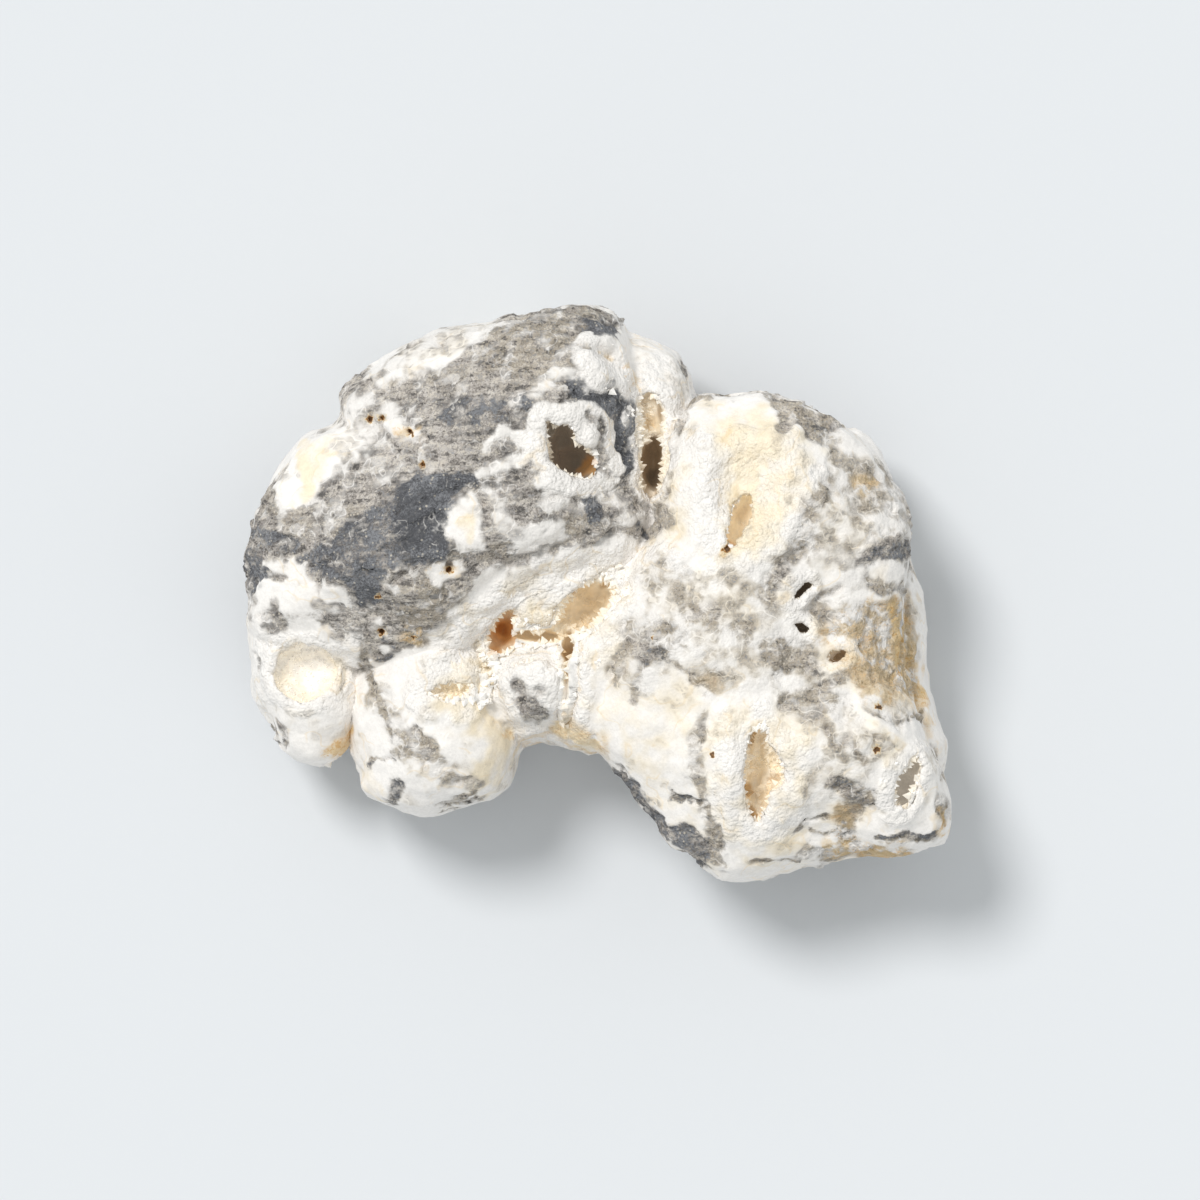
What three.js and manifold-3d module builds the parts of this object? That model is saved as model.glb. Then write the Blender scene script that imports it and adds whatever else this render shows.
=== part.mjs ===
// A sphalerite hand specimen: grey vein rock in two big lobes, with white crystal crusts in its hollows.
// Millimetres, +Z up. It lies on its broken base at z = 0, and its origin is the middle of the base.
import * as THREE from "three";
import { mergeVertices } from "three/addons/utils/BufferGeometryUtils.js";
import Module from "manifold-3d";

const wasm = await Module();
wasm.setup();

// Driving dimensions, in millimetres
const WIDTH = 101; // left to right, seen from above
const CRUST_GAP = 0.3; // clear space between a crust and the rock behind it
const HOLE_FACETS = 2; // how finely the rock behind a crust is faceted
const PIT_FACETS = 1; // how finely a bare pit is faceted
const BASE_DEPTH = 30; // how far the block that trims the base reaches down

// Places seen from above are read off the photograph in pixels: x to the right, y down
const PHOTO_LEFT = 243;
const PHOTO_RIGHT = 950;
const PHOTO_MIDDLE_Y = 593;
const MM_PER_PX = WIDTH / (PHOTO_RIGHT - PHOTO_LEFT);
const PHOTO_MIDDLE_X = (PHOTO_LEFT + PHOTO_RIGHT) / 2;

const place = ([px, py]) =>
  new THREE.Vector2((px - PHOTO_MIDDLE_X) * MM_PER_PX, (PHOTO_MIDDLE_Y - py) * MM_PER_PX);

// The lobes that the rock grew in. Outlines run clockwise round each lobe, as seen from above, and waist is
// the height where it is widest. Squareness is the exponent of its section: 2 is round, more has a flatter
// top and steeper sides. A ball of facets 8 has 40 points round its waist, one of facets 4 has 20, and an
// outline has as many.
const LOBES = [
  {
    name: "upper left lobe",
    centre: [455, 500],
    outline: [
      [247, 624], [253, 585], [242, 558], [249, 540], [252, 520], [262, 499], [270, 480], [284, 461],
      [304, 441], [320, 433], [336, 429], [344, 411], [342, 398], [353, 381], [370, 366], [393, 353],
      [418, 341], [448, 330], [478, 323], [503, 315], [535, 311], [560, 306], [588, 305], [612, 313],
      [626, 330], [634, 352], [640, 378], [646, 405], [648, 432], [649, 460], [652, 492], [661, 530],
      [645, 570], [600, 592], [545, 604], [490, 638], [430, 668], [372, 668], [310, 655], [265, 645],
    ],
    top: 41, bottom: -2.5, waist: 19, squareness: 2.7, facets: 8, breaks: 17, seed: 3, roughness: 1.6,
  },
  {
    name: "right lobe",
    centre: [760, 640],
    outline: [
      [654, 505], [661, 462], [671, 427], [690, 399], [712, 394], [736, 397], [757, 391], [780, 398],
      [803, 404], [826, 414], [846, 426], [864, 444], [880, 464], [895, 487], [906, 512], [908, 540],
      [905, 575], [903, 612], [906, 655], [914, 702], [927, 742], [940, 780], [951, 812], [944, 843],
      [905, 856], [872, 854], [838, 857], [800, 864], [762, 880], [720, 880], [700, 859], [672, 846],
      [655, 822], [632, 793], [612, 766], [596, 746], [578, 715], [569, 668], [588, 618], [632, 556],
    ],
    top: 38, bottom: -2.5, waist: 21, squareness: 3.1, facets: 8, breaks: 18, seed: 11, roughness: 1.5,
  },
  {
    name: "right flank",
    centre: [870, 620],
    outline: [
      [838, 430], [852, 427], [862, 430], [876, 443], [886, 458], [894, 474], [905, 505], [909, 550],
      [914, 576], [921, 597], [927, 630], [926, 675], [936, 707], [947, 745], [946, 765], [940, 779],
      [900, 800], [845, 740], [815, 620], [815, 500],
    ],
    top: 27, bottom: 1, waist: 15, squareness: 2.5, facets: 4, breaks: 7, seed: 71, roughness: 1.2,
  },
  {
    name: "lower left lobe",
    centre: [442, 706],
    outline: [
      [350, 700], [362, 650], [400, 612], [450, 610], [495, 635], [528, 675], [528, 715], [516, 750],
      [514, 770], [508, 786], [490, 799], [465, 806], [442, 810], [418, 812], [392, 803], [378, 797],
      [364, 788], [367, 775], [358, 760], [352, 738],
    ],
    top: 33, bottom: 2, waist: 18, squareness: 2.5, facets: 4, breaks: 8, seed: 23, roughness: 1.1,
  },
  {
    name: "left lobe",
    centre: [308, 680],
    outline: [
      [247, 624], [262, 608], [295, 598], [325, 602], [350, 618], [368, 645], [368, 680], [362, 712],
      [351, 737], [342, 752], [330, 763], [312, 765], [296, 759], [283, 748], [276, 733], [270, 717],
      [258, 703], [254, 685], [255, 665], [252, 645],
    ],
    top: 28, bottom: 2.5, waist: 15, squareness: 2.4, facets: 4, breaks: 7, seed: 31, roughness: 0.9,
  },
  {
    name: "back knob",
    centre: [650, 430],
    outline: [
      [606, 335], [622, 331], [640, 337], [655, 345], [668, 351], [680, 361], [688, 376], [693, 396],
      [698, 425], [698, 460], [692, 495], [678, 522], [655, 535], [635, 528], [622, 505], [612, 480],
      [606, 450], [603, 415], [602, 385], [602, 358],
    ],
    top: 29, bottom: 4, waist: 16, squareness: 2.6, facets: 4, breaks: 5, seed: 41, roughness: 0.8,
  },
  {
    name: "heart under the middle cleft",
    centre: [570, 640],
    outline: [
      [455, 640], [470, 610], [500, 575], [545, 550], [600, 525], [645, 520], [680, 530], [692, 565],
      [690, 610], [678, 660], [655, 700], [630, 728], [603, 752], [588, 751], [572, 747], [556, 741],
      [540, 739], [512, 743], [485, 715], [462, 680],
    ],
    top: 35, bottom: -0.5, waist: 15, squareness: 2.9, facets: 4, breaks: 4, seed: 53, roughness: 0.8,
  },
];

// Swells and dents of the upper surface: radius and height in millimetres
const SWELLS = [
  { name: "shoulder above the dark vug", at: [560, 385], radius: 9, height: 2.5 },
  { name: "crest of the upper left lobe", at: [450, 470], radius: 15, height: 2 },
  { name: "slope by the pale corner", at: [320, 470], radius: 10, height: -2.5 },
  { name: "dish by the top left step", at: [372, 415], radius: 6, height: -3.5 },
  { name: "swell of the slate grey field", at: [390, 545], radius: 9, height: 2.2 },
  { name: "rim above the basin", at: [790, 420], radius: 9, height: 2.4 },
  { name: "rim left of the basin", at: [680, 465], radius: 6, height: 2.6 },
  { name: "flank of the right lobe", at: [880, 640], radius: 12, height: -3 },
  { name: "swell left of the slot", at: [680, 700], radius: 13, height: 2.2 },
  { name: "saddle between the lobes", at: [640, 600], radius: 9, height: 1.8 },
  { name: "shelf right of the slot", at: [830, 740], radius: 9, height: 1.2 },
  { name: "fold in the lower left lobe", at: [390, 735], radius: 6, height: -1.6 },
];

// Broken ledges of the matrix: the ground steps down past each line, on its right going from start to end
const LEDGES = [
  { name: "top left step", from: [340, 432], to: [470, 385], drop: 1.6, reach: 9 },
  { name: "bedding step", from: [420, 390], to: [600, 335], drop: -1.2, reach: 10 },
  { name: "slate edge", from: [300, 560], to: [430, 655], drop: 1.8, reach: 10 },
  { name: "lower right ledge", from: [800, 820], to: [905, 800], drop: 1.6, reach: 8 },
  { name: "right flank ledge", from: [870, 610], to: [900, 760], drop: -1.5, reach: 9 },
];

// Hollows, each lined with one crust. A void is where the air is: its middle, the height of its middle, its
// half sizes, and its turn seen from above. Lumps are mounds of crystals that stand in the hollow.
const HOLLOWS = [
  {
    name: "upper_vug_crust", wall: 2.5, facets: 3, seed: 101,
    voids: [
      { at: [574, 462], z: 38, half: [3.5, 2.8, 15], turn: -20 },
      { at: [560, 449], z: 40, half: [2.2, 3.9, 13], turn: -6 },
      { at: [551, 436], z: 40, half: [1.1, 2.6, 8], turn: 10 },
    ],
    lumps: [],
  },
  {
    name: "upper_cleft_crust", wall: 2.0, facets: 2, seed: 113,
    voids: [
      { at: [624, 370], z: 38, half: [6.4, 3.0, 7], turn: -36 },
      { at: [650, 420], z: 35, half: [2.7, 5.6, 10], turn: 8 },
      { at: [653, 462], z: 35, half: [1.8, 5.2, 15], turn: -4 },
    ],
    lumps: [],
  },
  {
    name: "basin_crust", wall: 2.2, facets: 3, seed: 127,
    voids: [
      { at: [745, 478], z: 43, half: [7.8, 10.6, 8.5], turn: 8 },
      { at: [738, 525], z: 35.5, half: [1.8, 4.6, 4.8], turn: -22 },
    ],
    lumps: [],
  },
  {
    name: "middle_cleft_crust", wall: 3.0, facets: 3, seed: 139,
    voids: [
      { at: [530, 646], z: 42, half: [12.5, 7.5, 11.5], turn: 22 },
      { at: [503, 630], z: 34, half: [2.1, 4.2, 11], turn: -22 },
      { at: [538, 635], z: 33, half: [4.2, 0.9, 9], turn: -3 },
      { at: [584, 608], z: 34, half: [6.2, 3.2, 8.5], turn: 42 },
      { at: [568, 672], z: 33, half: [1.3, 7.6, 9], turn: -5 },
      { at: [453, 690], z: 33, half: [4.2, 1.4, 3.5], turn: 4 },
    ],
    lumps: [
      { at: [538, 612], z: 27, half: [4.0, 2.6, 6.5], turn: 0 },
      { at: [529, 691], z: 25, half: [5.7, 6.4, 10.4], turn: 0 },
    ],
  },
  {
    name: "slot_crust", wall: 2.4, facets: 3, seed: 149,
    voids: [
      { at: [757, 776], z: 38, half: [2.6, 7.8, 8], turn: -1 },
      { at: [768, 763], z: 38, half: [2.5, 4.4, 6.5], turn: 24 },
    ],
    lumps: [],
  },
  {
    name: "corner_vug_crust", wall: 1.8, facets: 2, seed: 151,
    voids: [
      { at: [901, 786], z: 33, half: [1.9, 3.2, 7], turn: -12 },
      { at: [912, 765], z: 33, half: [1.0, 2.0, 6], turn: 0 },
    ],
    lumps: [],
  },
  {
    name: "left_basin_crust", wall: 1.8, facets: 3, seed: 163,
    voids: [{ at: [308, 672], z: 29, half: [5.2, 4.6, 6.5], turn: -8 }],
    lumps: [],
  },
  {
    name: "left_hollow_crust", wall: 1.6, facets: 2, seed: 167,
    voids: [{ at: [343, 752], z: 13, half: [2.8, 3.2, 5.5], turn: -30 }],
    lumps: [],
  },
  {
    name: "upper_slit_crust", wall: 1.5, facets: 2, seed: 173,
    voids: [{ at: [799, 590], z: 37.5, half: [2.2, 1.0, 5.5], turn: 38 }],
    lumps: [],
  },
  {
    name: "lower_slit_crust", wall: 1.3, facets: 2, seed: 179,
    voids: [{ at: [800, 627], z: 37, half: [1.6, 0.9, 5], turn: -28 }],
    lumps: [],
  },
  {
    name: "nook_crust", wall: 1.2, facets: 2, seed: 181,
    voids: [{ at: [836, 656], z: 36, half: [1.7, 1.1, 5], turn: 20 }],
    lumps: [],
  },
];

// Bare pits in the matrix: half width and depth in millimetres
const PITS = [
  { name: "brown double pit, left", at: [372, 419], half: 0.9, depth: 2.6 },
  { name: "brown double pit, right", at: [383, 419], half: 0.9, depth: 2.6 },
  { name: "orange pit by the step", at: [411, 433], half: 0.9, depth: 2.4 },
  { name: "orange pit in the matrix", at: [424, 466], half: 0.8, depth: 2.2 },
  { name: "orange pit by the white lip", at: [451, 569], half: 1.0, depth: 2.4 },
  { name: "brown pit near the slate tip", at: [383, 632], half: 1.0, depth: 2.4 },
];

const COLOURS = { rock: 0x7d7b78, crust: 0xf3ece0 };

// A number from 0 to 1 that depends only on a lattice point and a seed
function lattice(i, j, k, seed) {
  let h = Math.imul(i, 374761393) ^ Math.imul(j, 668265263);
  h ^= Math.imul(k, 1103515245) ^ Math.imul(seed, 362437);
  h = Math.imul(h ^ (h >>> 13), 1274126177);
  return ((h ^ (h >>> 16)) >>> 0) / 4294967296;
}

// Smooth noise from -1 to 1 with the given wavelength
function noise(p, wavelength, seed) {
  const q = [p.x, p.y, p.z].map((v) => v / wavelength);
  const cell = q.map(Math.floor);
  const f = q.map((v, n) => THREE.MathUtils.smoothstep(v - cell[n], 0, 1));
  let sum = 0;
  for (let corner = 0; corner < 8; corner++) {
    const step = [corner & 1, (corner >> 1) & 1, (corner >> 2) & 1];
    const weight = step.reduce((w, s, n) => w * (s ? f[n] : 1 - f[n]), 1);
    sum += weight * lattice(cell[0] + step[0], cell[1] + step[1], cell[2] + step[2], seed);
  }
  return 2 * sum - 1;
}

function toSolid(geometry) {
  const bare = geometry.clone();
  bare.deleteAttribute("normal");
  bare.deleteAttribute("uv");
  const merged = mergeVertices(bare, 1e-4);
  return new wasm.Manifold(
    new wasm.Mesh({
      numProp: 3,
      vertProperties: new Float32Array(merged.attributes.position.array),
      triVerts: new Uint32Array(merged.index.array),
    }),
  );
}

// A closed ball of triangles whose points are moved by a function. Each edge of an icosahedron that stands on
// a corner is parted in facets, so a ball of even facets has a ring of points round its waist.
function shapedBall(facets, move) {
  const bare = new THREE.IcosahedronGeometry(1, facets - 1);
  const corner = new THREE.Vector3().fromBufferAttribute(bare.attributes.position, 0);
  bare.applyQuaternion(new THREE.Quaternion().setFromUnitVectors(corner, new THREE.Vector3(0, 0, 1)));
  bare.deleteAttribute("normal");
  bare.deleteAttribute("uv");
  const ball = mergeVertices(bare, 1e-4);
  const points = ball.attributes.position;
  const p = new THREE.Vector3();
  for (let i = 0; i < points.count; i++) {
    p.fromBufferAttribute(points, i).normalize();
    const q = move(p, i);
    points.setXYZ(i, q.x, q.y, q.z);
  }
  return ball;
}

// Where the first point of a ball's waist is, as an angle round the ball
function waistStart(facets) {
  let start = 0;
  shapedBall(facets, (p) => {
    if (Math.abs(p.z) < 1e-3) start = Math.atan2(p.y, p.x);
    return p;
  });
  return start;
}

// Height that the swells and ledges add to the upper surface
function groundLift(x, y) {
  const { smoothstep } = THREE.MathUtils;
  let lift = 0;
  for (const swell of SWELLS) {
    const at = place(swell.at);
    lift += swell.height * Math.exp(-((x - at.x) ** 2 + (y - at.y) ** 2) / swell.radius ** 2);
  }
  for (const ledge of LEDGES) {
    const from = place(ledge.from);
    const run = place(ledge.to).sub(from);
    const length = run.length();
    run.divideScalar(length);
    const along = (x - from.x) * run.x + (y - from.y) * run.y;
    const across = (x - from.x) * run.y - (y - from.y) * run.x;
    const beside = smoothstep(across, -0.8, 0.8) * (1 - smoothstep(across, 2, ledge.reach));
    const within = smoothstep(along, -3, 2) * (1 - smoothstep(along, length - 2, length + 3));
    lift -= ledge.drop * beside * within;
  }
  return lift;
}

// The half of space beyond a plane, as a block much larger than the specimen
function beyondPlane(point, normal) {
  const size = 3 * WIDTH;
  const block = new THREE.BoxGeometry(size, size, size).translate(0, 0, size / 2);
  block.applyQuaternion(new THREE.Quaternion().setFromUnitVectors(new THREE.Vector3(0, 0, 1), normal));
  return toSolid(block.translate(point.x, point.y, point.z));
}

// Broken faces: planes that cut the shoulders and the underside of a lobe, and never its outline
function breakFaces(solid, lobe) {
  const GOLDEN_TURN = 2.399963;
  const middle = place(lobe.centre);
  const centre = new THREE.Vector3(middle.x, middle.y, lobe.waist);
  const corners = solid.getMesh().vertProperties;
  const rim = lobe.outline.map((pixel) => place(pixel).sub(middle));
  let broken = solid;
  for (let n = 0; n < lobe.breaks; n++) {
    const azimuth = GOLDEN_TURN * n + lobe.seed;
    const chance = lattice(n, 1, 1, lobe.seed);
    const shoulder = n % 3 === 2;
    const slope = shoulder ? 0.6 + 0.5 * chance : -0.35 - 0.85 * chance;
    const facing = new THREE.Vector3(Math.cos(azimuth), Math.sin(azimuth), 0);
    facing.multiplyScalar(Math.cos(slope));
    facing.z = Math.sin(slope);
    let reach = 0;
    for (let i = 0; i < corners.length; i += 3) {
      const corner = new THREE.Vector3(corners[i], corners[i + 1], corners[i + 2]).sub(centre);
      reach = Math.max(reach, corner.dot(facing));
    }
    const rimReach = Math.max(...rim.map((r) => r.x * facing.x + r.y * facing.y));
    const share = (shoulder ? 0.08 : 0.2) + (shoulder ? 0.2 : 0.35) * lattice(n, 2, 7, lobe.seed);
    const depth = share * (reach - rimReach);
    broken = broken.subtract(beyondPlane(centre.clone().addScaledVector(facing, reach - depth), facing));
  }
  return broken;
}

function lobeSolid(lobe) {
  const outline = new THREE.SplineCurve([...lobe.outline, lobe.outline[0]].map(place));
  const middle = place(lobe.centre);
  const start = waistStart(lobe.facets);
  const share = 2 / lobe.squareness;
  const geometry = shapedBall(lobe.facets, (p) => {
    const turn = THREE.MathUtils.euclideanModulo((start - Math.atan2(p.y, p.x)) / (2 * Math.PI), 1);
    const flat = Math.hypot(p.x, p.y);
    const rim = outline.getPoint(turn);
    const at = middle.clone().lerp(rim, flat ** share);
    const rise = Math.abs(p.z) ** share;
    const high = lobe.top + groundLift(at.x, at.y) - lobe.waist;
    const z = lobe.waist + (p.z > 0 ? rise * high : -rise * (lobe.waist - lobe.bottom));
    // Lumps fade towards the waist, so that the outline stays true
    const fade = 1 - flat ** 8;
    const out = new THREE.Vector3(at.x, at.y, z);
    const lump = lobe.roughness * fade * (noise(out, 11, lobe.seed) + 0.5 * noise(out, 5, lobe.seed + 1));
    const away = rim.sub(middle).setLength(flat * lump);
    return out.add(new THREE.Vector3(away.x, away.y, p.z * lump));
  });
  return breakFaces(toSolid(geometry), lobe);
}

// A void or a lump: an uneven ball, with its half sizes changed by grow, and its skin broken up by crystals
function unevenBall(form, grow, crystals, facets, seed) {
  const middle = place(form.at);
  const turned = THREE.MathUtils.degToRad(form.turn);
  const axis = new THREE.Vector3(0, 0, 1);
  const half = form.half.map((h) => h + grow);
  const geometry = shapedBall(facets, (p, i) => {
    const q = new THREE.Vector3(p.x * half[0], p.y * half[1], p.z * half[2]).applyAxisAngle(axis, turned);
    const swell = 0.12 * noise(q.clone().addScalar(seed), 4.5, seed) * Math.min(...half);
    const point = crystals * (lattice(i, 5, 9, seed) - 0.5);
    q.addScaledVector(p, swell + point);
    return q.add(new THREE.Vector3(middle.x, middle.y, form.z));
  });
  return toSolid(geometry);
}

const joinAll = (solids) => solids.reduce((sum, next) => sum.add(next));

const biggestBody = (solid) => solid.decompose().sort((a, b) => b.volume() - a.volume())[0];

// The hole that a hollow leaves in the rock: its voids and the room for its crust
const hollowHole = (hollow, clear) =>
  joinAll(hollow.voids.map((v, n) => unevenBall(v, hollow.wall - clear, 0, HOLE_FACETS, hollow.seed + n)));

function crustSolid(hollow, body) {
  const crystalSize = Math.min(0.9, hollow.wall * 0.4);
  const hollowed = (v, n) => unevenBall(v, 0, crystalSize, hollow.facets, hollow.seed + n);
  let air = joinAll(hollow.voids.map(hollowed));
  hollow.lumps.forEach((lump, n) => {
    air = air.subtract(unevenBall(lump, 0, crystalSize, hollow.facets, hollow.seed + 50 + n));
  });
  return biggestBody(hollowHole(hollow, CRUST_GAP).intersect(body).subtract(air));
}

function pitSolid(pit, body) {
  const middle = place(pit.at);
  const ground = groundAt(body, middle.x, middle.y);
  const form = { at: pit.at, z: ground, half: [pit.half, pit.half, pit.depth], turn: 0 };
  return unevenBall(form, 0, 0, PIT_FACETS, 7);
}

// Height of the rock's upper surface over a place, found with a thin post dropped through it
function groundAt(body, x, y) {
  const POST = 0.4;
  const TALL = 120;
  const post = toSolid(new THREE.BoxGeometry(POST, POST, TALL).translate(x, y, TALL / 2));
  return body.intersect(post).boundingBox().max[2];
}

function meshOf(solid, name, colour, roughness) {
  const data = solid.getMesh();
  const geometry = new THREE.BufferGeometry();
  geometry.setAttribute("position", new THREE.BufferAttribute(new Float32Array(data.vertProperties), 3));
  geometry.setIndex(new THREE.BufferAttribute(new Uint32Array(data.triVerts), 1));
  geometry.computeVertexNormals();
  const material = new THREE.MeshStandardMaterial({ color: colour, roughness, metalness: 0 });
  const mesh = new THREE.Mesh(geometry, material);
  mesh.name = name;
  return mesh;
}

const underground = new THREE.BoxGeometry(3 * WIDTH, 3 * WIDTH, BASE_DEPTH);
const below = toSolid(underground.translate(0, 0, -BASE_DEPTH / 2));
const body = joinAll(LOBES.map(lobeSolid)).subtract(below);
const holes = joinAll(HOLLOWS.map((hollow) => hollowHole(hollow, 0)));
const pits = joinAll(PITS.map((pit) => pitSolid(pit, body)));
const rock = biggestBody(body.subtract(holes).subtract(pits));

const specimen = new THREE.Group();
specimen.add(meshOf(rock, "rock", COLOURS.rock, 0.85));
for (const hollow of HOLLOWS) {
  specimen.add(meshOf(crustSolid(hollow, body), hollow.name, COLOURS.crust, 0.5));
}

// The origin is the middle of the base
const reachOfRock = rock.boundingBox();
specimen.position.x = -(reachOfRock.min[0] + reachOfRock.max[0]) / 2;
specimen.position.y = -(reachOfRock.min[1] + reachOfRock.max[1]) / 2;

export default specimen;
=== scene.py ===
import math
from collections import namedtuple

import bmesh
import bpy
import numpy as np
from bpy.props import FloatProperty, FloatVectorProperty, IntProperty, PointerProperty
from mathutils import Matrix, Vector
from mathutils.bvhtree import BVHTree


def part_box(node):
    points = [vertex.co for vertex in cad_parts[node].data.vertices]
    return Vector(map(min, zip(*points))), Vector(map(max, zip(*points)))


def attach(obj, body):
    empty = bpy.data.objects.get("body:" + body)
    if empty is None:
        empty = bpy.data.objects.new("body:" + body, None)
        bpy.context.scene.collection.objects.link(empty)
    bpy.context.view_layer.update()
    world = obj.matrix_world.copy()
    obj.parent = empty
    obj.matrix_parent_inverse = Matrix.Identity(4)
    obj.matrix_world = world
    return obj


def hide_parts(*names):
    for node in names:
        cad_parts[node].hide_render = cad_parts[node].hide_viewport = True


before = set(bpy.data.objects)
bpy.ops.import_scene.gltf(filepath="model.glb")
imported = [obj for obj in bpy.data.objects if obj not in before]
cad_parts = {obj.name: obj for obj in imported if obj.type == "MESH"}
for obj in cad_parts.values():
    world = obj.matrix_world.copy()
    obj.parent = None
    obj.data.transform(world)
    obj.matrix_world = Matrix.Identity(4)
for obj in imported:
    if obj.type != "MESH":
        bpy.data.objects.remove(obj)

bl_info = {
    "name": "Sphalerite specimen",
    "version": (1, 0, 0),
    "blender": (4, 5, 0),
    "location": "View3D > Sidebar > Specimen",
    "description": "Grey vein rock with white crystal crusts in its hollows, on a pale table",
    "category": "Object",
}

# Places seen from above are in pixels of the photograph, x to the right and y down, as in the part's
# source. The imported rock's box ties them to metres.
PHOTO_SIZE = 1200
PHOTO_MIDDLE = np.array([596.5, 593.6])
PHOTO_SPAN = 709.0
ROCK_LOW, ROCK_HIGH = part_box("rock")
PIXEL = (ROCK_HIGH.x - ROCK_LOW.x) / PHOTO_SPAN
MM = 0.001
BEDDING = np.array([0.9, 0.42, 0.1])
SPLINTER_STRETCH = 0.5

# The round knob in the middle cleft, the groove round it, its bare grey core, and the crevice beside it.
# Reaches are in pixels and heights in millimetres.
KNOB_MIDDLE = (530, 688)
KNOB_REACH = 42.0
KNOB_HEIGHT = 1.3
GROOVE_DEPTH = 0.9
KNOB_CORE = ((526, 682), (538, 710))
CREVICE = ((570, 672), (564, 714))
CREVICE_HEIGHT = 1.1

# A crust's solid is welded to the rock's where the gap behind it is narrow.
WELD_GAP = 0.45 * MM
WELD_SHARE = 1.35

# Within a hollow the rock's skin dips under the crust's, and elsewhere the crust's dips under the rock's.
# Each pair is where a turn from one to the other starts and where it ends.
NEAR_CRUST = 1.5 * MM
LINING_SHELTER = (0.2, 0.36)
LINING_FROM_ROCK = (0.6 * MM, 1.1 * MM)
LINING_DIP = 0.6 * MM
BACKING_FROM_ROCK = (0.35 * MM, 0.65 * MM)
CRUST_SHELTER = (0.05, 0.2)
CRUST_DIP = 0.5 * MM

# The underside is thinned below this band of heights, and faces folded more sharply than this are eased.
THINNED_BELOW = (22 * MM, 28 * MM)
THINNING_STRENGTH = 1.4
SHARP_FOLD = math.radians(100)
EASING_ROUNDS = 8
EASING = 0.6

# How far walls shelter each other, and how far off the surface the look for them starts
SHELTER_REACH = 30 * MM
SHELTER_START = 0.5 * MM

# Pointed crystals: their sides, how far they lean at random, and the least and most of full size they have
CRYSTAL_SIDES = 5
CRYSTAL_LEAN = 0.4
CRYSTAL_SIZES = (0.55, 1.25)

# Daylight from the upper left, over a pale table
SUN_STRENGTH = 1.77
SUN_COLOUR = (1.0, 0.99, 0.975)
SUN_FROM = (-0.40, 0.46, 1.0)
SUN_SPREAD = 0.3
SKY_STRENGTH = 0.62
SKY_COLOUR = (0.975, 1.0, 1.0)
TABLE_HALF_WIDTH = 4.0

# Factors that mix a cell's whole numbers and a seed, and the cells round a cell, itself among them
CELL_FACTORS = np.array([374761393, 668265263, 1103515245])
SEED_FACTOR = 362437
MIXING_FACTOR = 1274126177
LARGEST_MIXED = 0xFFFFFF
CELLS_AROUND = [np.array([i, j, k]) for i in (-1, 0, 1) for j in (-1, 0, 1) for k in (-1, 0, 1)]

# One stroke of a field over the rock: a closed outline where reach is 0, and otherwise a line of that
# half width. Later strokes lie over earlier ones. The amount is how much of the surface the field's
# finish takes there.
Stroke = namedtuple("Stroke", "name amount reach points")

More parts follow.
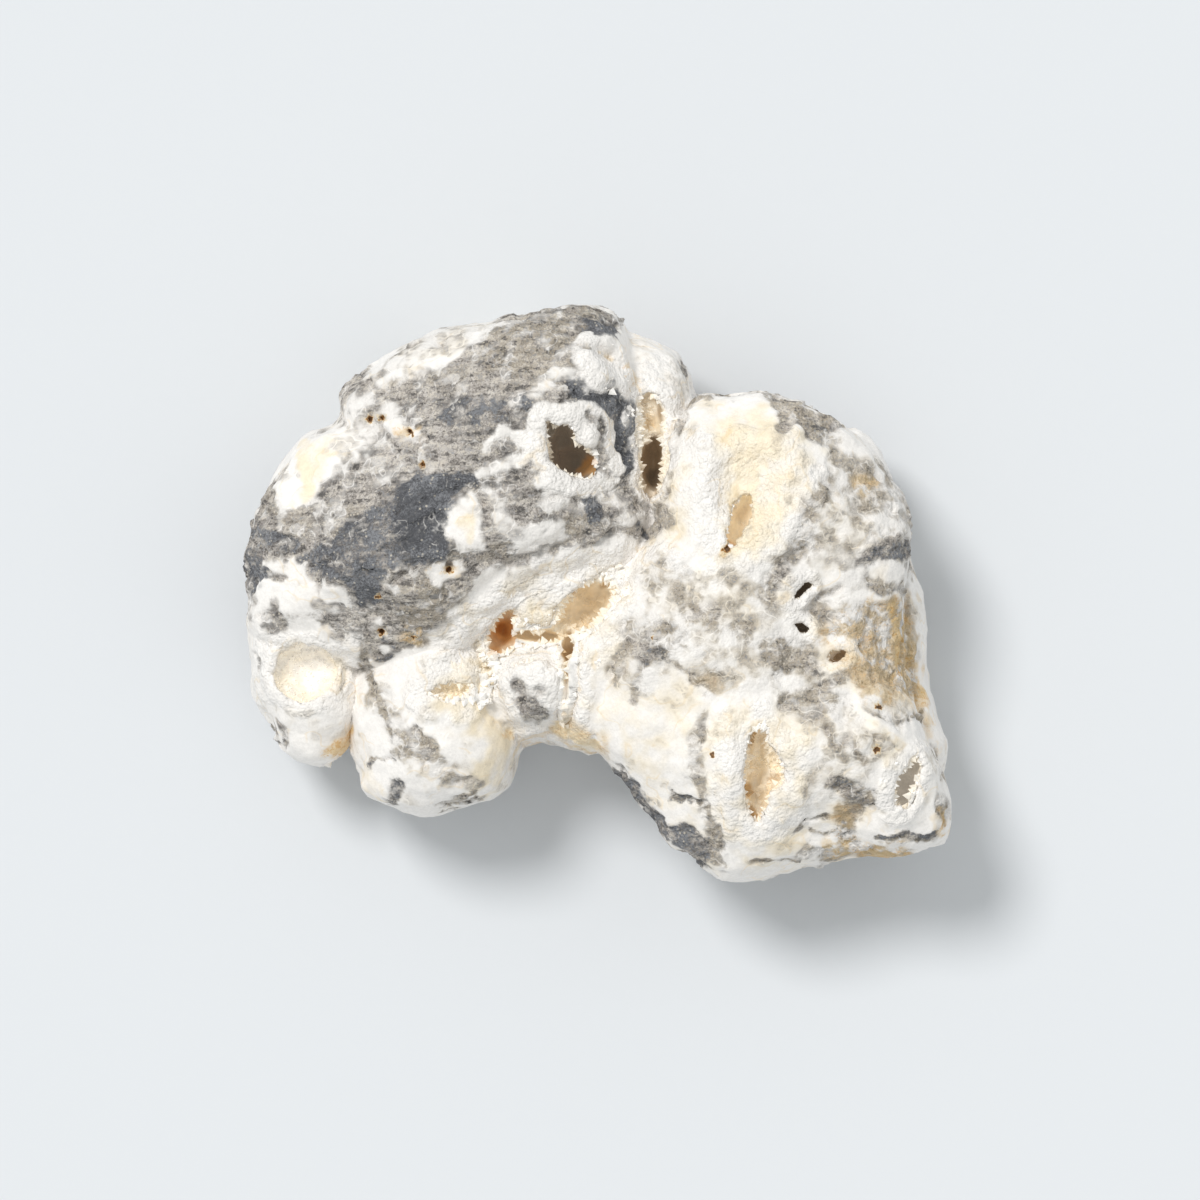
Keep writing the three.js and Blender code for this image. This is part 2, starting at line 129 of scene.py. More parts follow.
# Grey matrix. What no stroke reaches is white.
MATRIX = [
    Stroke("upper left lobe", 0.86, 0, (
        (500, 312), (560, 300), (606, 305), (626, 322), (606, 339), (590, 347), (578, 360), (594, 378),
        (622, 396), (637, 410), (634, 440), (632, 478), (642, 500), (668, 503), (676, 528), (655, 543),
        (612, 543), (560, 549), (522, 562), (482, 566), (472, 582), (456, 612), (430, 640), (394, 656),
        (366, 650), (345, 636), (330, 620), (300, 619), (286, 631), (266, 630), (262, 610), (240, 625),
        (236, 560), (246, 515), (262, 494), (280, 470), (300, 440), (345, 425), (336, 400), (352, 376),
        (372, 366), (384, 388), (412, 378), (452, 363), (480, 345),
    )),
    Stroke("haze over the right lobe", 0.38, 0, (
        (640, 556), (700, 572), (764, 560), (792, 500), (828, 452), (866, 456), (906, 500), (912, 580),
        (850, 600), (842, 690), (900, 700), (900, 760), (860, 800), (800, 800), (820, 740), (772, 690),
        (720, 700), (690, 660), (640, 700), (606, 680), (600, 610),
    )),
    Stroke("haze by the grey patch", 0.3, 16, ((720, 590), (760, 640), (746, 676))),
    Stroke("haze along the left of the slot", 0.5, 8, ((704, 712), (700, 760), (704, 800), (716, 850))),
    Stroke("haze round the network", 0.4, 14, ((384, 700), (410, 744), (440, 764))),
    Stroke("haze on the cap", 0.4, 13, ((384, 372), (430, 346), (486, 324))),
    Stroke("mottled step by the double pit", 0.4, 0, (
        (338, 402), (362, 392), (398, 396), (404, 424), (372, 432), (335, 432),
    )),
    Stroke("pale corner", 0.06, 0, (
        (300, 442), (340, 430), (372, 434), (380, 450), (362, 458), (352, 470), (326, 486), (306, 514),
        (284, 508), (276, 484), (288, 458),
    )),
    Stroke("brown line in the pale corner", 0.6, 4, ((352, 462), (345, 470), (338, 482))),
    Stroke("halo of the pit by the step", 0.2, 8, ((396, 430), (418, 434))),
    Stroke("halo of the pit near the slate tip", 0.25, 8, ((378, 628), (388, 636))),
    Stroke("halo of the pit by the white lip", 0.2, 8, ((442, 574), (458, 566))),
    Stroke("streaks below the step", 0.62, 0, (
        (362, 440), (432, 436), (436, 476), (398, 486), (366, 478),
    )),
    Stroke("ring round the pit in the matrix", 0.3, 7, ((424, 466), (425, 467))),
    Stroke("pale ring below the slate", 0.35, 3, (
        (384, 572), (400, 566), (418, 574), (416, 586), (400, 592), (386, 586),
    )),
    Stroke("pale ring round the round patch", 0.25, 5, (
        (488, 448), (497, 432), (517, 430), (529, 446),
    )),
    Stroke("white round the vug", 0.0, 6, (
        (534, 470), (532, 436), (548, 408), (585, 406), (606, 424), (609, 470),
    )),
    Stroke("white under the vug", 0.0, 6, ((540, 486), (575, 492), (606, 484))),
    Stroke("pale veil left of the vug", 0.3, 7, ((486, 474), (510, 466), (530, 462))),
    Stroke("white bank over the middle cleft", 0.0, 13, (
        (438, 654), (462, 622), (490, 600), (534, 582), (584, 572), (640, 562),
    )),
    Stroke("pale patch above the vug", 0.35, 9, ((520, 400), (556, 372), (590, 384))),
    Stroke("white lens", 0.0, 0, (
        (444, 508), (456, 498), (474, 499), (478, 516), (488, 545), (464, 549), (448, 538),
    )),
    Stroke("pale band by the lens", 0.34, 9, ((492, 500), (520, 540), (556, 532))),
    Stroke("pale band below the vug", 0.3, 8, ((545, 505), (575, 512), (600, 494))),
    Stroke("white by the left end", 0.02, 0, (
        (266, 566), (286, 553), (304, 560), (322, 588), (318, 612), (296, 616), (270, 604), (252, 612),
        (256, 590),
    )),
    Stroke("grey streak in it", 0.6, 5, ((262, 580), (282, 574))),
    Stroke("white tongue", 0.05, 9, ((330, 594), (346, 598))),
    Stroke("grey patch by the left basin", 0.85, 9, ((276, 612), (274, 622))),
    Stroke("white band round the cleft", 0.0, 7, (
        (586, 362), (618, 378), (642, 404), (650, 440), (648, 500),
    )),
    Stroke("speckled white below the cleft", 0.42, 8, ((612, 500), (626, 520), (655, 512))),
    Stroke("back knob's grey edge", 0.85, 4, ((682, 362), (690, 384), (690, 400))),
    Stroke("rim above the basin", 0.9, 9, ((770, 404), (800, 414), (830, 428))),
    Stroke("rim's tip", 0.7, 4, ((700, 399), (735, 398), (757, 393), (772, 402))),
    Stroke("rim's tongue", 0.85, 7, ((784, 414), (776, 430))),
    Stroke("rim's right end", 0.62, 6, ((808, 432), (836, 446), (838, 458))),
    Stroke("left wall of the basin", 0.62, 5, ((704, 402), (686, 414), (680, 436))),
    Stroke("lower left wall of the basin", 0.78, 6, ((677, 456), (673, 486))),
    Stroke("line to the saddle", 0.66, 4, ((664, 496), (668, 530))),
    Stroke("brown mottling right of the basin", 0.66, 9, ((826, 484), (808, 506), (808, 534))),
    Stroke("mottled corner", 0.55, 0, (
        (843, 470), (862, 462), (890, 474), (908, 508), (908, 536), (890, 524), (852, 514), (842, 494),
    )),
    Stroke("grey patch by the right edge", 0.84, 11, ((862, 562), (880, 548), (904, 546))),
    Stroke("grey shelf below it", 0.66, 7, ((870, 586), (902, 588))),
    Stroke("pale patch between them", 0.2, 6, ((872, 574), (892, 572))),
    Stroke("grey above the upper slit", 0.74, 11, ((806, 544), (786, 562), (768, 594))),
    Stroke("halo of the upper slit", 0.05, 0, (
        (776, 594), (790, 576), (815, 566), (832, 572), (830, 586), (812, 598), (792, 606),
    )),
    Stroke("streak right of the slit", 0.66, 4, ((806, 604), (820, 596), (834, 586))),
    Stroke("streak between the slits", 0.62, 6, ((766, 606), (796, 610), (828, 614))),
    Stroke("halo of the lower slit", 0.1, 7, ((786, 624), (812, 632))),
    Stroke("brown patch below the slits", 0.8, 12, ((772, 646), (786, 666))),
    Stroke("brown veil", 0.58, 10, ((800, 646), (812, 668))),
    Stroke("ochre flank", 0.68, 0, (
        (842, 604), (868, 604), (906, 596), (914, 640), (920, 700), (884, 692), (850, 684), (846, 640),
        (820, 632),
    )),
    Stroke("pale rim of the nook", 0.08, 6, (
        (822, 656), (836, 646), (850, 654), (846, 668), (828, 668),
    )),
    Stroke("streak below the nook", 0.72, 5, ((820, 690), (845, 672), (862, 672))),
    Stroke("grey streak left of it", 0.76, 6, ((786, 702), (804, 700), (822, 692))),
    Stroke("beige patch", 0.66, 8, ((814, 712), (834, 702))),
    Stroke("mottled shelf", 0.45, 12, ((862, 704), (900, 716))),
    Stroke("grey line in the shelf", 0.7, 4, ((868, 716), (892, 722), (920, 716))),
    Stroke("white ridge", 0.0, 4, ((845, 690), (868, 726), (898, 742), (884, 764), (866, 790))),
    Stroke("grey hook", 0.66, 5, ((824, 728), (832, 746), (850, 742), (858, 762))),
    Stroke("dark ledge", 0.86, 8, ((838, 782), (852, 796), (872, 798))),
    Stroke("dark ochre corner", 0.75, 12, ((846, 812), (852, 840))),
    Stroke("oval, upper side", 0.75, 3, ((800, 826), (808, 816), (828, 810))),
    Stroke("oval, lower side", 0.8, 4, ((812, 834), (824, 836), (836, 830))),
    Stroke("seam at the bottom edge", 0.8, 3, ((752, 864), (784, 856), (800, 860))),
    Stroke("broken bottom edge", 0.7, 7, ((800, 854), (850, 850), (905, 852))),
    Stroke("blue grey seam", 0.86, 4, ((884, 836), (908, 840), (938, 836))),
    Stroke("grey tip", 0.72, 6, ((936, 800), (946, 818))),
    Stroke("grey line by the right tip", 0.5, 3, ((928, 742), (938, 778))),
    Stroke("grey patch on the right lobe", 0.72, 18, ((634, 636), (668, 634))),
    Stroke("its dark core", 0.9, 9, ((646, 652), (660, 650))),
    Stroke("its left spot", 0.66, 7, ((618, 620), (606, 648))),
    Stroke("its right wing", 0.6, 10, ((690, 612), (712, 610))),
    Stroke("its right tail", 0.6, 8, ((712, 624), (742, 630), (752, 640))),
    Stroke("its lower streak", 0.66, 5, ((640, 662), (632, 690), (630, 704))),
    Stroke("its lower left streak", 0.5, 4, ((616, 656), (614, 676))),
    Stroke("thin line to the beige spot", 0.6, 3, ((672, 656), (696, 668), (702, 686), (714, 694))),
    Stroke("beige spot", 0.58, 6, ((706, 680), (716, 678))),
    Stroke("streak by the middle band", 0.6, 6, ((688, 566), (678, 578), (676, 592))),
    Stroke("spot left of it", 0.5, 7, ((648, 584), (656, 590))),
    Stroke("vein beside the slot", 0.62, 6, ((708, 726), (704, 752), (690, 776))),
    Stroke("grey wedge", 0.8, 4, ((668, 796), (708, 799))),
    Stroke("wedge's pale crest", 0.3, 3, ((664, 788), (690, 778))),
    Stroke("line to the bottom", 0.62, 4, ((710, 800), (718, 832), (720, 868))),
    Stroke("dark spot on the line", 0.8, 7, ((712, 832), (714, 846))),
    Stroke("dark side strip", 0.95, 7, ((616, 772), (638, 800), (664, 826))),
    Stroke("dark side patch", 0.96, 12, ((682, 834), (700, 852))),
    Stroke("left lobe's upper spot", 0.6, 4, ((260, 658), (262, 670))),
    Stroke("left lobe's lower spot", 0.76, 5, ((278, 724), (284, 738))),
    Stroke("vein in the lower left lobe", 0.8, 6, ((368, 654), (374, 680))),
    Stroke("vein goes on", 0.9, 4, ((376, 684), (388, 714), (402, 742))),
    Stroke("network", 0.75, 11, ((404, 740), (428, 748))),
    Stroke("network's branch", 0.85, 3, ((418, 726), (420, 736))),
    Stroke("black streak", 0.7, 2.5, ((376, 764), (380, 756), (398, 756))),
    Stroke("dark patch", 0.7, 6, ((399, 776), (394, 800))),
    Stroke("mottled foot", 0.56, 7, ((446, 772), (478, 786))),
    Stroke("seam of the foot", 0.8, 3, ((440, 806), (458, 800), (476, 794))),
    Stroke("core of the knob", 0.85, 10, KNOB_CORE),
    Stroke("side of the core", 0.7, 6, ((540, 690), (552, 686))),
]

# Dark slate within the matrix
SLATE = [
    Stroke("slate field", 0.55, 0, (
        (398, 492), (420, 480), (446, 476), (450, 500), (444, 530), (452, 562), (424, 570), (388, 566),
        (384, 600), (362, 604), (350, 584), (316, 572), (300, 556), (330, 540), (352, 524), (372, 506),
    )),
    Stroke("darkest slate", 0.95, 0, (
        (400, 484), (446, 477), (450, 500), (443, 530), (446, 556), (420, 562), (402, 545), (392, 520),
    )),
    Stroke("slate below it", 0.8, 8, ((366, 578), (376, 596))),
    Stroke("slate spur", 0.85, 7, ((446, 490), (474, 478))),
    Stroke("slate left end", 0.5, 10, ((250, 556), (262, 584))),
    Stroke("slate left edge", 0.4, 6, ((252, 530), (290, 544))),
    Stroke("speckled edge by the cleft", 0.95, 12, ((582, 390), (620, 402), (628, 428), (620, 462))),
    Stroke("dark spot at the back edge", 0.85, 10, ((592, 330), (604, 332))),
    Stroke("bedded shade", 0.42, 14, ((450, 412), (516, 406))),
    Stroke("speckles below the cleft", 0.6, 5, ((638, 520), (648, 538))),
    Stroke("dark speckles below the vug", 0.7, 7, ((586, 496), (598, 520))),
    Stroke("slate tip", 0.4, 7, ((390, 650), (396, 652))),
    Stroke("blue grey by the right edge", 0.35, 10, ((862, 562), (904, 546))),
    Stroke("dark core", 0.3, 8, ((646, 652), (660, 650))),
    Stroke("dark side", 0.5, 12, ((620, 776), (700, 852))),
    Stroke("dark patch of the lower left lobe", 0.5, 5, ((399, 776), (394, 800))),
    Stroke("black streak", 0.5, 2.5, ((376, 764), (398, 756))),
    Stroke("dark ochre corner", 0.3, 9, ((846, 812), (852, 840))),
    Stroke("dark ledge", 0.25, 6, ((838, 782), (852, 796))),
    Stroke("blue grey seam", 0.5, 3, ((884, 836), (938, 836))),
    Stroke("grey wedge", 0.3, 4, ((668, 796), (708, 799))),
]

# Beige and brown flecks within the matrix
WARM = [
    Stroke("right lobe", 0.8, 0, (
        (640, 540), (700, 380), (800, 390), (920, 500), (960, 860), (720, 890), (560, 700),
    )),
    Stroke("blue grey by the right edge", 0.15, 18, ((790, 580), (904, 550))),
    Stroke("back edge", 0.7, 0, (
        (482, 346), (505, 316), (600, 306), (596, 352), (560, 372), (500, 384), (470, 376),
    )),
    Stroke("bedding", 0.42, 9, ((400, 388), (470, 376), (540, 384))),
    Stroke("flecks in the slate", 0.5, 10, ((340, 530), (362, 508))),
    Stroke("lower matrix", 0.75, 0, (
        (396, 590), (440, 576), (464, 580), (456, 612), (428, 642), (404, 640),
    )),
    Stroke("below the vug", 0.7, 9, ((560, 534), (596, 520))),
    Stroke("edge of the lens", 0.6, 7, ((460, 552), (506, 552))),
    Stroke("left flank", 0.35, 14, ((300, 520), (270, 500))),
    Stroke("lower left lobe", 0.85, 0, ((350, 650), (400, 650), (520, 740), (500, 815), (370, 800))),
]

# Ochre stains, and painted tan shade in the creases and hollows marked below
OCHRE_AND_PAINTED_SHADE = [
    # Painted shade in the left hollow and on the low body in the notch
    Stroke("left hollow", 0.8, 7, ((330, 750), (350, 732))),
    Stroke("low body in the notch", 0.42, 14, ((566, 726), (594, 742))),
    Stroke("crease at the back", 0.5, 5, ((604, 360), (624, 372), (640, 386))),
    # Painted shade in the crease of the basin and along the edge of the trough
    Stroke("crease in the basin", 0.5, 3.5, ((734, 426), (727, 442), (730, 458))),
    Stroke("edge of the trough", 0.35, 4, ((744, 486), (734, 506), (726, 530))),
    Stroke("foot of the trough", 0.8, 4.5, ((730, 544), (721, 556))),
    # Painted shade in the creases round the knob
    Stroke("crease above the knob", 0.5, 2.5, ((494, 650), (518, 638), (548, 637), (566, 650))),
    Stroke("crease right of the knob", 0.45, 3, ((568, 650), (574, 690), (566, 716))),
    Stroke("crease below the knob", 0.4, 4, ((560, 724), (534, 738), (508, 738))),
    Stroke("right flank", 0.42, 0, (
        (842, 604), (906, 596), (916, 650), (922, 716), (884, 692), (846, 684), (820, 632),
    )),
    Stroke("brightest part of the flank", 0.8, 8, ((892, 610), (898, 650), (896, 668))),
    Stroke("lower edge of the flank", 0.7, 6, ((914, 668), (922, 706))),
    Stroke("mottled corner", 0.45, 8, ((858, 486), (870, 480))),
    Stroke("corner of the lower right", 0.45, 11, ((842, 812), (850, 836), (866, 852))),
    Stroke("broken bottom edge", 0.62, 6, ((826, 846), (905, 852))),
    Stroke("right tip", 0.7, 5, ((946, 812), (944, 832))),
    Stroke("below the step", 0.5, 5, ((398, 430), (418, 428))),
    Stroke("lower matrix", 0.5, 6, ((410, 630), (420, 636))),
    Stroke("by the orange pit", 0.6, 6, ((442, 572), (458, 566))),
    Stroke("right of the shelf", 0.4, 7, ((862, 694), (882, 700))),
    Stroke("right edge", 0.35, 5, ((926, 722), (936, 744))),
    Stroke("beige spot", 0.2, 6, ((706, 680), (716, 690))),
]

# Cream tint of the white parts, with painted shade round and below the knob and in the middle cleft's
# valley
CREAM_AND_PAINTED_SHADE = [
    Stroke("right lobe", 0.34, 0, (
        (660, 520), (700, 400), (800, 420), (880, 500), (920, 700), (860, 860), (700, 880), (640, 780),
        (570, 700), (590, 600),
    )),
    Stroke("middle band", 0.18, 14, ((470, 600), (560, 570), (680, 556))),
    Stroke("left basin", 0.45, 20, ((300, 650), (330, 668))),
    Stroke("cream of the basin", 0.75, 28, ((744, 440), (760, 480), (752, 530))),
    Stroke("yellow of the basin", 1.1, 14, ((738, 432), (746, 464), (748, 506), (736, 540))),
    Stroke("white lip of the basin", 0.0, 11, ((700, 436), (706, 480), (700, 530))),
    # Painted shade round and below the knob
    Stroke("round the knob", 1.0, 6, ((482, 716), (480, 690), (488, 664), (508, 646))),
    Stroke("below the knob", 1.0, 8, ((560, 726), (590, 740))),
    # Painted shade in the valley of the middle cleft, next to its crevices
    Stroke("valley of the middle cleft", 0.5, 13, ((462, 674), (506, 628), (560, 606))),
    Stroke("tan streak of the pale corner", 0.95, 9, ((312, 450), (310, 496))),
    Stroke("cream in the pale corner", 0.6, 8, ((330, 448), (322, 478))),
    Stroke("lens", 0.75, 7, ((462, 520), (472, 538))),
    Stroke("white mass of the right lobe", 0.45, 18, ((650, 720), (690, 740))),
    Stroke("lower left lobe", 0.8, 16, ((450, 694), (500, 744), (480, 776))),
    Stroke("foot of the lower left lobe", 0.5, 8, ((372, 768), (384, 790))),
    Stroke("below the slot", 0.5, 10, ((735, 840), (790, 835))),
    Stroke("right of the slot", 0.55, 7, ((792, 740), (796, 780))),
    Stroke("shelf", 0.5, 12, ((868, 680), (900, 700))),
    Stroke("saddle", 0.45, 6, ((676, 530), (700, 534))),
    Stroke("cold white cap", 0.3, 12, ((390, 368), (480, 330))),
    Stroke("cold white left end", 0.0, 14, ((280, 580), (300, 600))),
    Stroke("cold white by the slits", 0.0, 14, ((800, 580), (880, 600))),
    Stroke("cold white at the corner", 0.0, 14, ((880, 815), (930, 800))),
]

# Bare pits: where their middle is, their reach in pixels and their depth in millimetres
Pit = namedtuple("Pit", "name at reach depth")
PITS = [
    Pit("double pit, left", (371, 420), 3.6, 1.1),
    Pit("double pit, right", (383, 419), 3.2, 1.0),
    Pit("pit by the step", (412, 433), 3.6, 1.1),
    Pit("pit in the matrix", (424, 466), 3.0, 1.0),
    Pit("pit by the white lip", (450, 570), 3.4, 0.9),
    Pit("pit near the slate tip", (383, 632), 3.4, 1.0),
    Pit("orange pit of the basin", (726, 549), 4.5, 0.8),
    Pit("speck in the lower matrix", (414, 637), 2.6, 0.4),
    Pit("speck by the shelf", (876, 706), 2.8, 0.4),
    Pit("speck below the ridge", (874, 748), 3.2, 0.6),
    Pit("speck beside the slot", (711, 754), 1.6, 0.2),
    Pit("fleck of the slate field", (380, 597), 2.2, 0.4),
    Pit("speck on the dark patch", (652, 637), 1.4, 0.3),
]

# Raised banks of crystals along the hollows: their height in millimetres and their half width in pixels
Bank = namedtuple("Bank", "name height reach points")
BANKS = [
    Bank("over the middle cleft", 1.1, 16, ((446, 655), (472, 624), (504, 602), (548, 586), (590, 577))),
    Bank("left lip of the basin", 0.45, 18, ((700, 424), (712, 466), (709, 512), (700, 540))),
    Bank("left lip of the slot", 0.5, 11, ((728, 722), (729, 780), (731, 824))),
]

# Sugary crystals on the rock itself, round the hollows
SUGAR = [
    Stroke("middle band", 0.9, 0, (
        (432, 648), (446, 622), (474, 592), (540, 556), (610, 548), (690, 548), (660, 580), (622, 590),
        (598, 618), (580, 640), (578, 690), (604, 740), (590, 760), (520, 760), (500, 700), (440, 700),
        (418, 674),
    )),
    Stroke("round the vug", 0.8, 14, (
        (534, 470), (536, 430), (560, 406), (606, 424), (608, 480), (560, 492),
    )),
    Stroke("round the cleft", 0.8, 12, ((590, 350), (640, 400), (652, 500))),
    Stroke("back knob", 0.7, 20, ((655, 370), (672, 420))),
    Stroke("round the basin", 0.7, 16, (
        (700, 440), (690, 500), (720, 566), (780, 540), (802, 480), (780, 440),
    )),
    Stroke("round the slot", 0.75, 14, ((730, 720), (728, 830), (790, 820), (800, 750), (760, 712))),
    Stroke("round the corner vug", 0.5, 12, ((880, 800), (924, 770))),
    Stroke("round the left basin", 0.6, 14, ((276, 640), (262, 690), (340, 700), (350, 650))),
]


def to_pixels(points):
    """Where points, in metres, are in the photograph."""
    flat = points[:, :2] / PIXEL
    flat[:, 1] *= -1.0
    return flat + PHOTO_MIDDLE


def to_metres(pixel):
    """Where a pixel of the photograph is, seen from above, in metres."""
    x = (pixel[0] - PHOTO_MIDDLE[0]) * PIXEL
    y = (PHOTO_MIDDLE[1] - pixel[1]) * PIXEL
    return x, y


def smooth_step(value, start, end):
    """0 below start and 1 above end, with a soft turn between them."""
    t = np.clip((value - start) / (end - start), 0.0, 1.0)
    return t * t * (3.0 - 2.0 * t)


def lattice(cells, seed):
    """A number from 0 to 1 for each whole-numbered cell."""
    mixed = cells.astype(np.int64) @ CELL_FACTORS + seed * SEED_FACTOR
    mixed = (mixed ^ (mixed >> 13)) * MIXING_FACTOR
    mixed = mixed ^ (mixed >> 16)
    return (mixed & LARGEST_MIXED) / float(LARGEST_MIXED)


def lumps(points, wavelength, seed):
    """Smooth noise from -1 to 1 with that wavelength, in metres."""
    scaled = points / wavelength
    cell = np.floor(scaled)
    part = smooth_step(scaled - cell, 0.0, 1.0)
    total = np.zeros(len(points))
    for corner in range(8):
        step = np.array([corner & 1, (corner >> 1) & 1, (corner >> 2) & 1])
        weight = np.prod(np.where(step == 1, part, 1.0 - part), axis=1)
        total += weight * lattice(cell + step, seed)
    return 2.0 * total - 1.0


def grains(points, size, seed):
    """Distance to the nearest grain centre, in grain sizes, where there is about one grain in each cell."""
    scaled = points / size
    cell = np.floor(scaled)
    nearest = np.full(len(points), np.inf)
    for step in CELLS_AROUND:
        near = cell + step
        centre = near + np.stack([lattice(near, seed + n) for n in range(3)], axis=1)
        nearest = np.minimum(nearest, np.linalg.norm(centre - scaled, axis=1))
    return nearest


def chips(points, size, seed):
    """Height of flat chips with sharp edges, each tilted its own way, in chip sizes."""
    scaled = points / size
    cell = np.floor(scaled)
    nearest = np.full(len(points), np.inf)
    height = np.zeros(len(points))
    for step in CELLS_AROUND:
        near = cell + step
        away = scaled - near - np.stack([lattice(near, seed + n) for n in range(3)], axis=1)
        tilt = np.stack([lattice(near, seed + n) for n in range(3, 6)], axis=1) - 0.5
        distance = np.linalg.norm(away, axis=1)
        closer = distance < nearest
        nearest = np.where(closer, distance, nearest)
        height = np.where(closer, 1.6 * np.sum(tilt * away, axis=1) + 0.5 * tilt[:, 0], height)
    return height


def distance_to_line(at, points, closed):
    """Distance in pixels to a line of points, and whether each place is inside it."""
    corners = np.array(points, dtype=float)
    ends = np.roll(corners, -1, axis=0)
    if not closed:
        corners = corners[:-1]
        ends = ends[:-1]
    nearest = np.full(len(at), np.inf)
    inside = np.zeros(len(at), dtype=bool)
    for start, end in zip(corners, ends):
        run = end - start
        along = np.clip(((at - start) @ run) / max(run @ run, 1e-9), 0.0, 1.0)
        nearest = np.minimum(nearest, np.linalg.norm(at - start - along[:, None] * run, axis=1))
        if closed:
            spans = (start[1] > at[:, 1]) != (end[1] > at[:, 1])
            rise = end[1] - start[1] if end[1] != start[1] else 1e-9
            inside ^= spans & (at[:, 0] < start[0] + (at[:, 1] - start[1]) / rise * run[0])
    return nearest, inside


def painted(at, strokes, softness=5.0):
    """The field that the strokes make at each place, from 0 to 1."""
    field = np.zeros(len(at))
    for stroke in strokes:
        away, inside = distance_to_line(at, stroke.points, stroke.reach == 0)
        if stroke.reach == 0:
            away = np.where(inside, -away, away)
            soft = softness
        else:
            away = away - stroke.reach
            soft = min(softness, stroke.reach)
        cover = 1.0 - smooth_step(away, -0.5 * soft, 0.5 * soft)
        field = field * (1.0 - cover) + stroke.amount * cover
    return field


def merged_copy(node, name):
    """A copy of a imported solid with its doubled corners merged."""
    copy = bpy.data.objects.new(name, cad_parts[node].data.copy())
    bpy.context.scene.collection.objects.link(copy)
    work = bmesh.new()
    work.from_mesh(copy.data)
    bmesh.ops.remove_doubles(work, verts=work.verts, dist=1e-6)
    work.to_mesh(copy.data)
    work.free()
    copy.data.materials.clear()
    return copy


def apply_modifiers(piece):
    """Puts the result of the piece's modifiers in its own mesh, and takes them off."""
    evaluated = piece.evaluated_get(bpy.context.evaluated_depsgraph_get())
    made = bpy.data.meshes.new_from_object(evaluated)
    old = piece.data
    piece.modifiers.clear()
    piece.data = made
    bpy.data.meshes.remove(old)
    made.name = piece.name


def remeshed(piece, voxel):
    """Gives the piece an even skin of small faces."""
    remesh = piece.modifiers.new("Even skin", "REMESH")
    remesh.mode = "VOXEL"
    remesh.voxel_size = voxel
    remesh.use_smooth_shade = True
    apply_modifiers(piece)


def rows_of(items, name):
    """Three numbers for each item of a mesh, as the rows of a table."""
    flat = np.empty(len(items) * 3)
    items.foreach_get(name, flat)
    return flat.reshape(-1, 3)


def corners_of(mesh):
    return rows_of(mesh.vertices, "co")


def move_corners(mesh, points):
    mesh.vertices.foreach_set("co", points.ravel())
    mesh.update()


def keep_field(mesh, name, values):
    """Keeps one number for each corner, for the materials and the crystal tree."""
    attribute = mesh.attributes.get(name) or mesh.attributes.new(name, "FLOAT", "POINT")
    attribute.data.foreach_set("value", values.astype(np.float32))


def smoothed(mesh, values, rounds):
    """Values averaged with those at the other ends of each corner's edges."""
    ends = np.empty(len(mesh.edges) * 2, dtype=np.int64)
    mesh.edges.foreach_get("vertices", ends)
    first, second = ends.reshape(-1, 2).T
    size = len(values)
    count = np.bincount(first, minlength=size) + np.bincount(second, minlength=size)
    for _ in range(rounds):
        total = np.bincount(first, values[second], size) + np.bincount(second, values[first], size)
        values = 0.5 * values + 0.5 * total / np.maximum(count, 1)
    return values


def smoothed_normals(mesh, rounds):
    facing = rows_of(mesh.vertex_normals, "vector")
    normals = np.stack([smoothed(mesh, part, rounds) for part in facing.T], axis=1)
    return normals / np.maximum(np.linalg.norm(normals, axis=1, keepdims=True), 1e-9)


def shared_relief(points):
    """Broad lumps that the rock and its crusts share, so that their skins stay level, in metres."""
    broad = 0.55 * lumps(points, 8 * MM, 3) + 0.32 * lumps(points, 3.6 * MM, 5)
    from_knob = np.linalg.norm(to_pixels(points) - np.array(KNOB_MIDDLE), axis=1) / KNOB_REACH
    groove = GROOVE_DEPTH * smooth_step(from_knob, 0.7, 1.05) * (1.0 - smooth_step(from_knob, 1.05, 1.4))
    knob = KNOB_HEIGHT * (1.0 - smooth_step(from_knob, 0.0, 1.0)) - groove
    banks = np.zeros(len(points))
    for bank in BANKS:
        away, _ = distance_to_line(to_pixels(points), bank.points, False)
        banks = np.maximum(banks, bank.height * (1.0 - smooth_step(away, 0.0, bank.reach)))
    return (broad + 0.12 * lumps(points, 1.7 * MM, 7) + knob + banks) * MM


def rock_fields(points, facing, lip):
    """What the rock's surface is made of at each place, with painted shade among the cream and ochre:
    fields from 0 to 1, with uneven edges.
    """
    at = to_pixels(points)
    for axis, seed in enumerate((31, 37)):
        at[:, axis] += 7.0 * lumps(points, 3.4 * MM, seed) + 4.0 * lumps(points, 1.5 * MM, seed + 2)
        at[:, axis] += 2.5 * lumps(points, 0.9 * MM, seed + 4)
    # The sides and the underside, which no photograph shows, have patches of the same kinds
    seen = smooth_step(facing[:, 2], -0.35, 0.05)
    patches = lumps(points, 17 * MM, 41) + 0.6 * lumps(points, 7 * MM, 43)
    patches += 0.35 * lumps(points, 3 * MM, 47)
    warm_patches = smooth_step(lumps(points, 12 * MM, 53), -0.3, 0.4)
    fields = {
        "matrix": (painted(at, MATRIX, 13.0), 0.9 * smooth_step(patches, -0.55, 0.15)),
        "slate": (painted(at, SLATE, 12.0), smooth_step(patches, 0.45, 0.95)),
        "warm": (painted(at, WARM, 12.0), 0.6 * warm_patches),
        "ochre": (painted(at, OCHRE_AND_PAINTED_SHADE, 10.0), 0.5 * smooth_step(lumps(points, 11 * MM, 59), 0.45, 0.8)),
        "cream": (painted(at, CREAM_AND_PAINTED_SHADE, 20.0), 0.5 * warm_patches),
        "sugar": (painted(at, SUGAR, 14.0), 0.4 * smooth_step(-patches, 0.3, 0.8)),
    }
    mixed = {name: seen * top + (1.0 - seen) * side for name, (top, side) in fields.items()}
    mixed["matrix"] *= 1.0 - lip
    mixed["sugar"] = np.maximum(mixed["sugar"], lip)
    return mixed


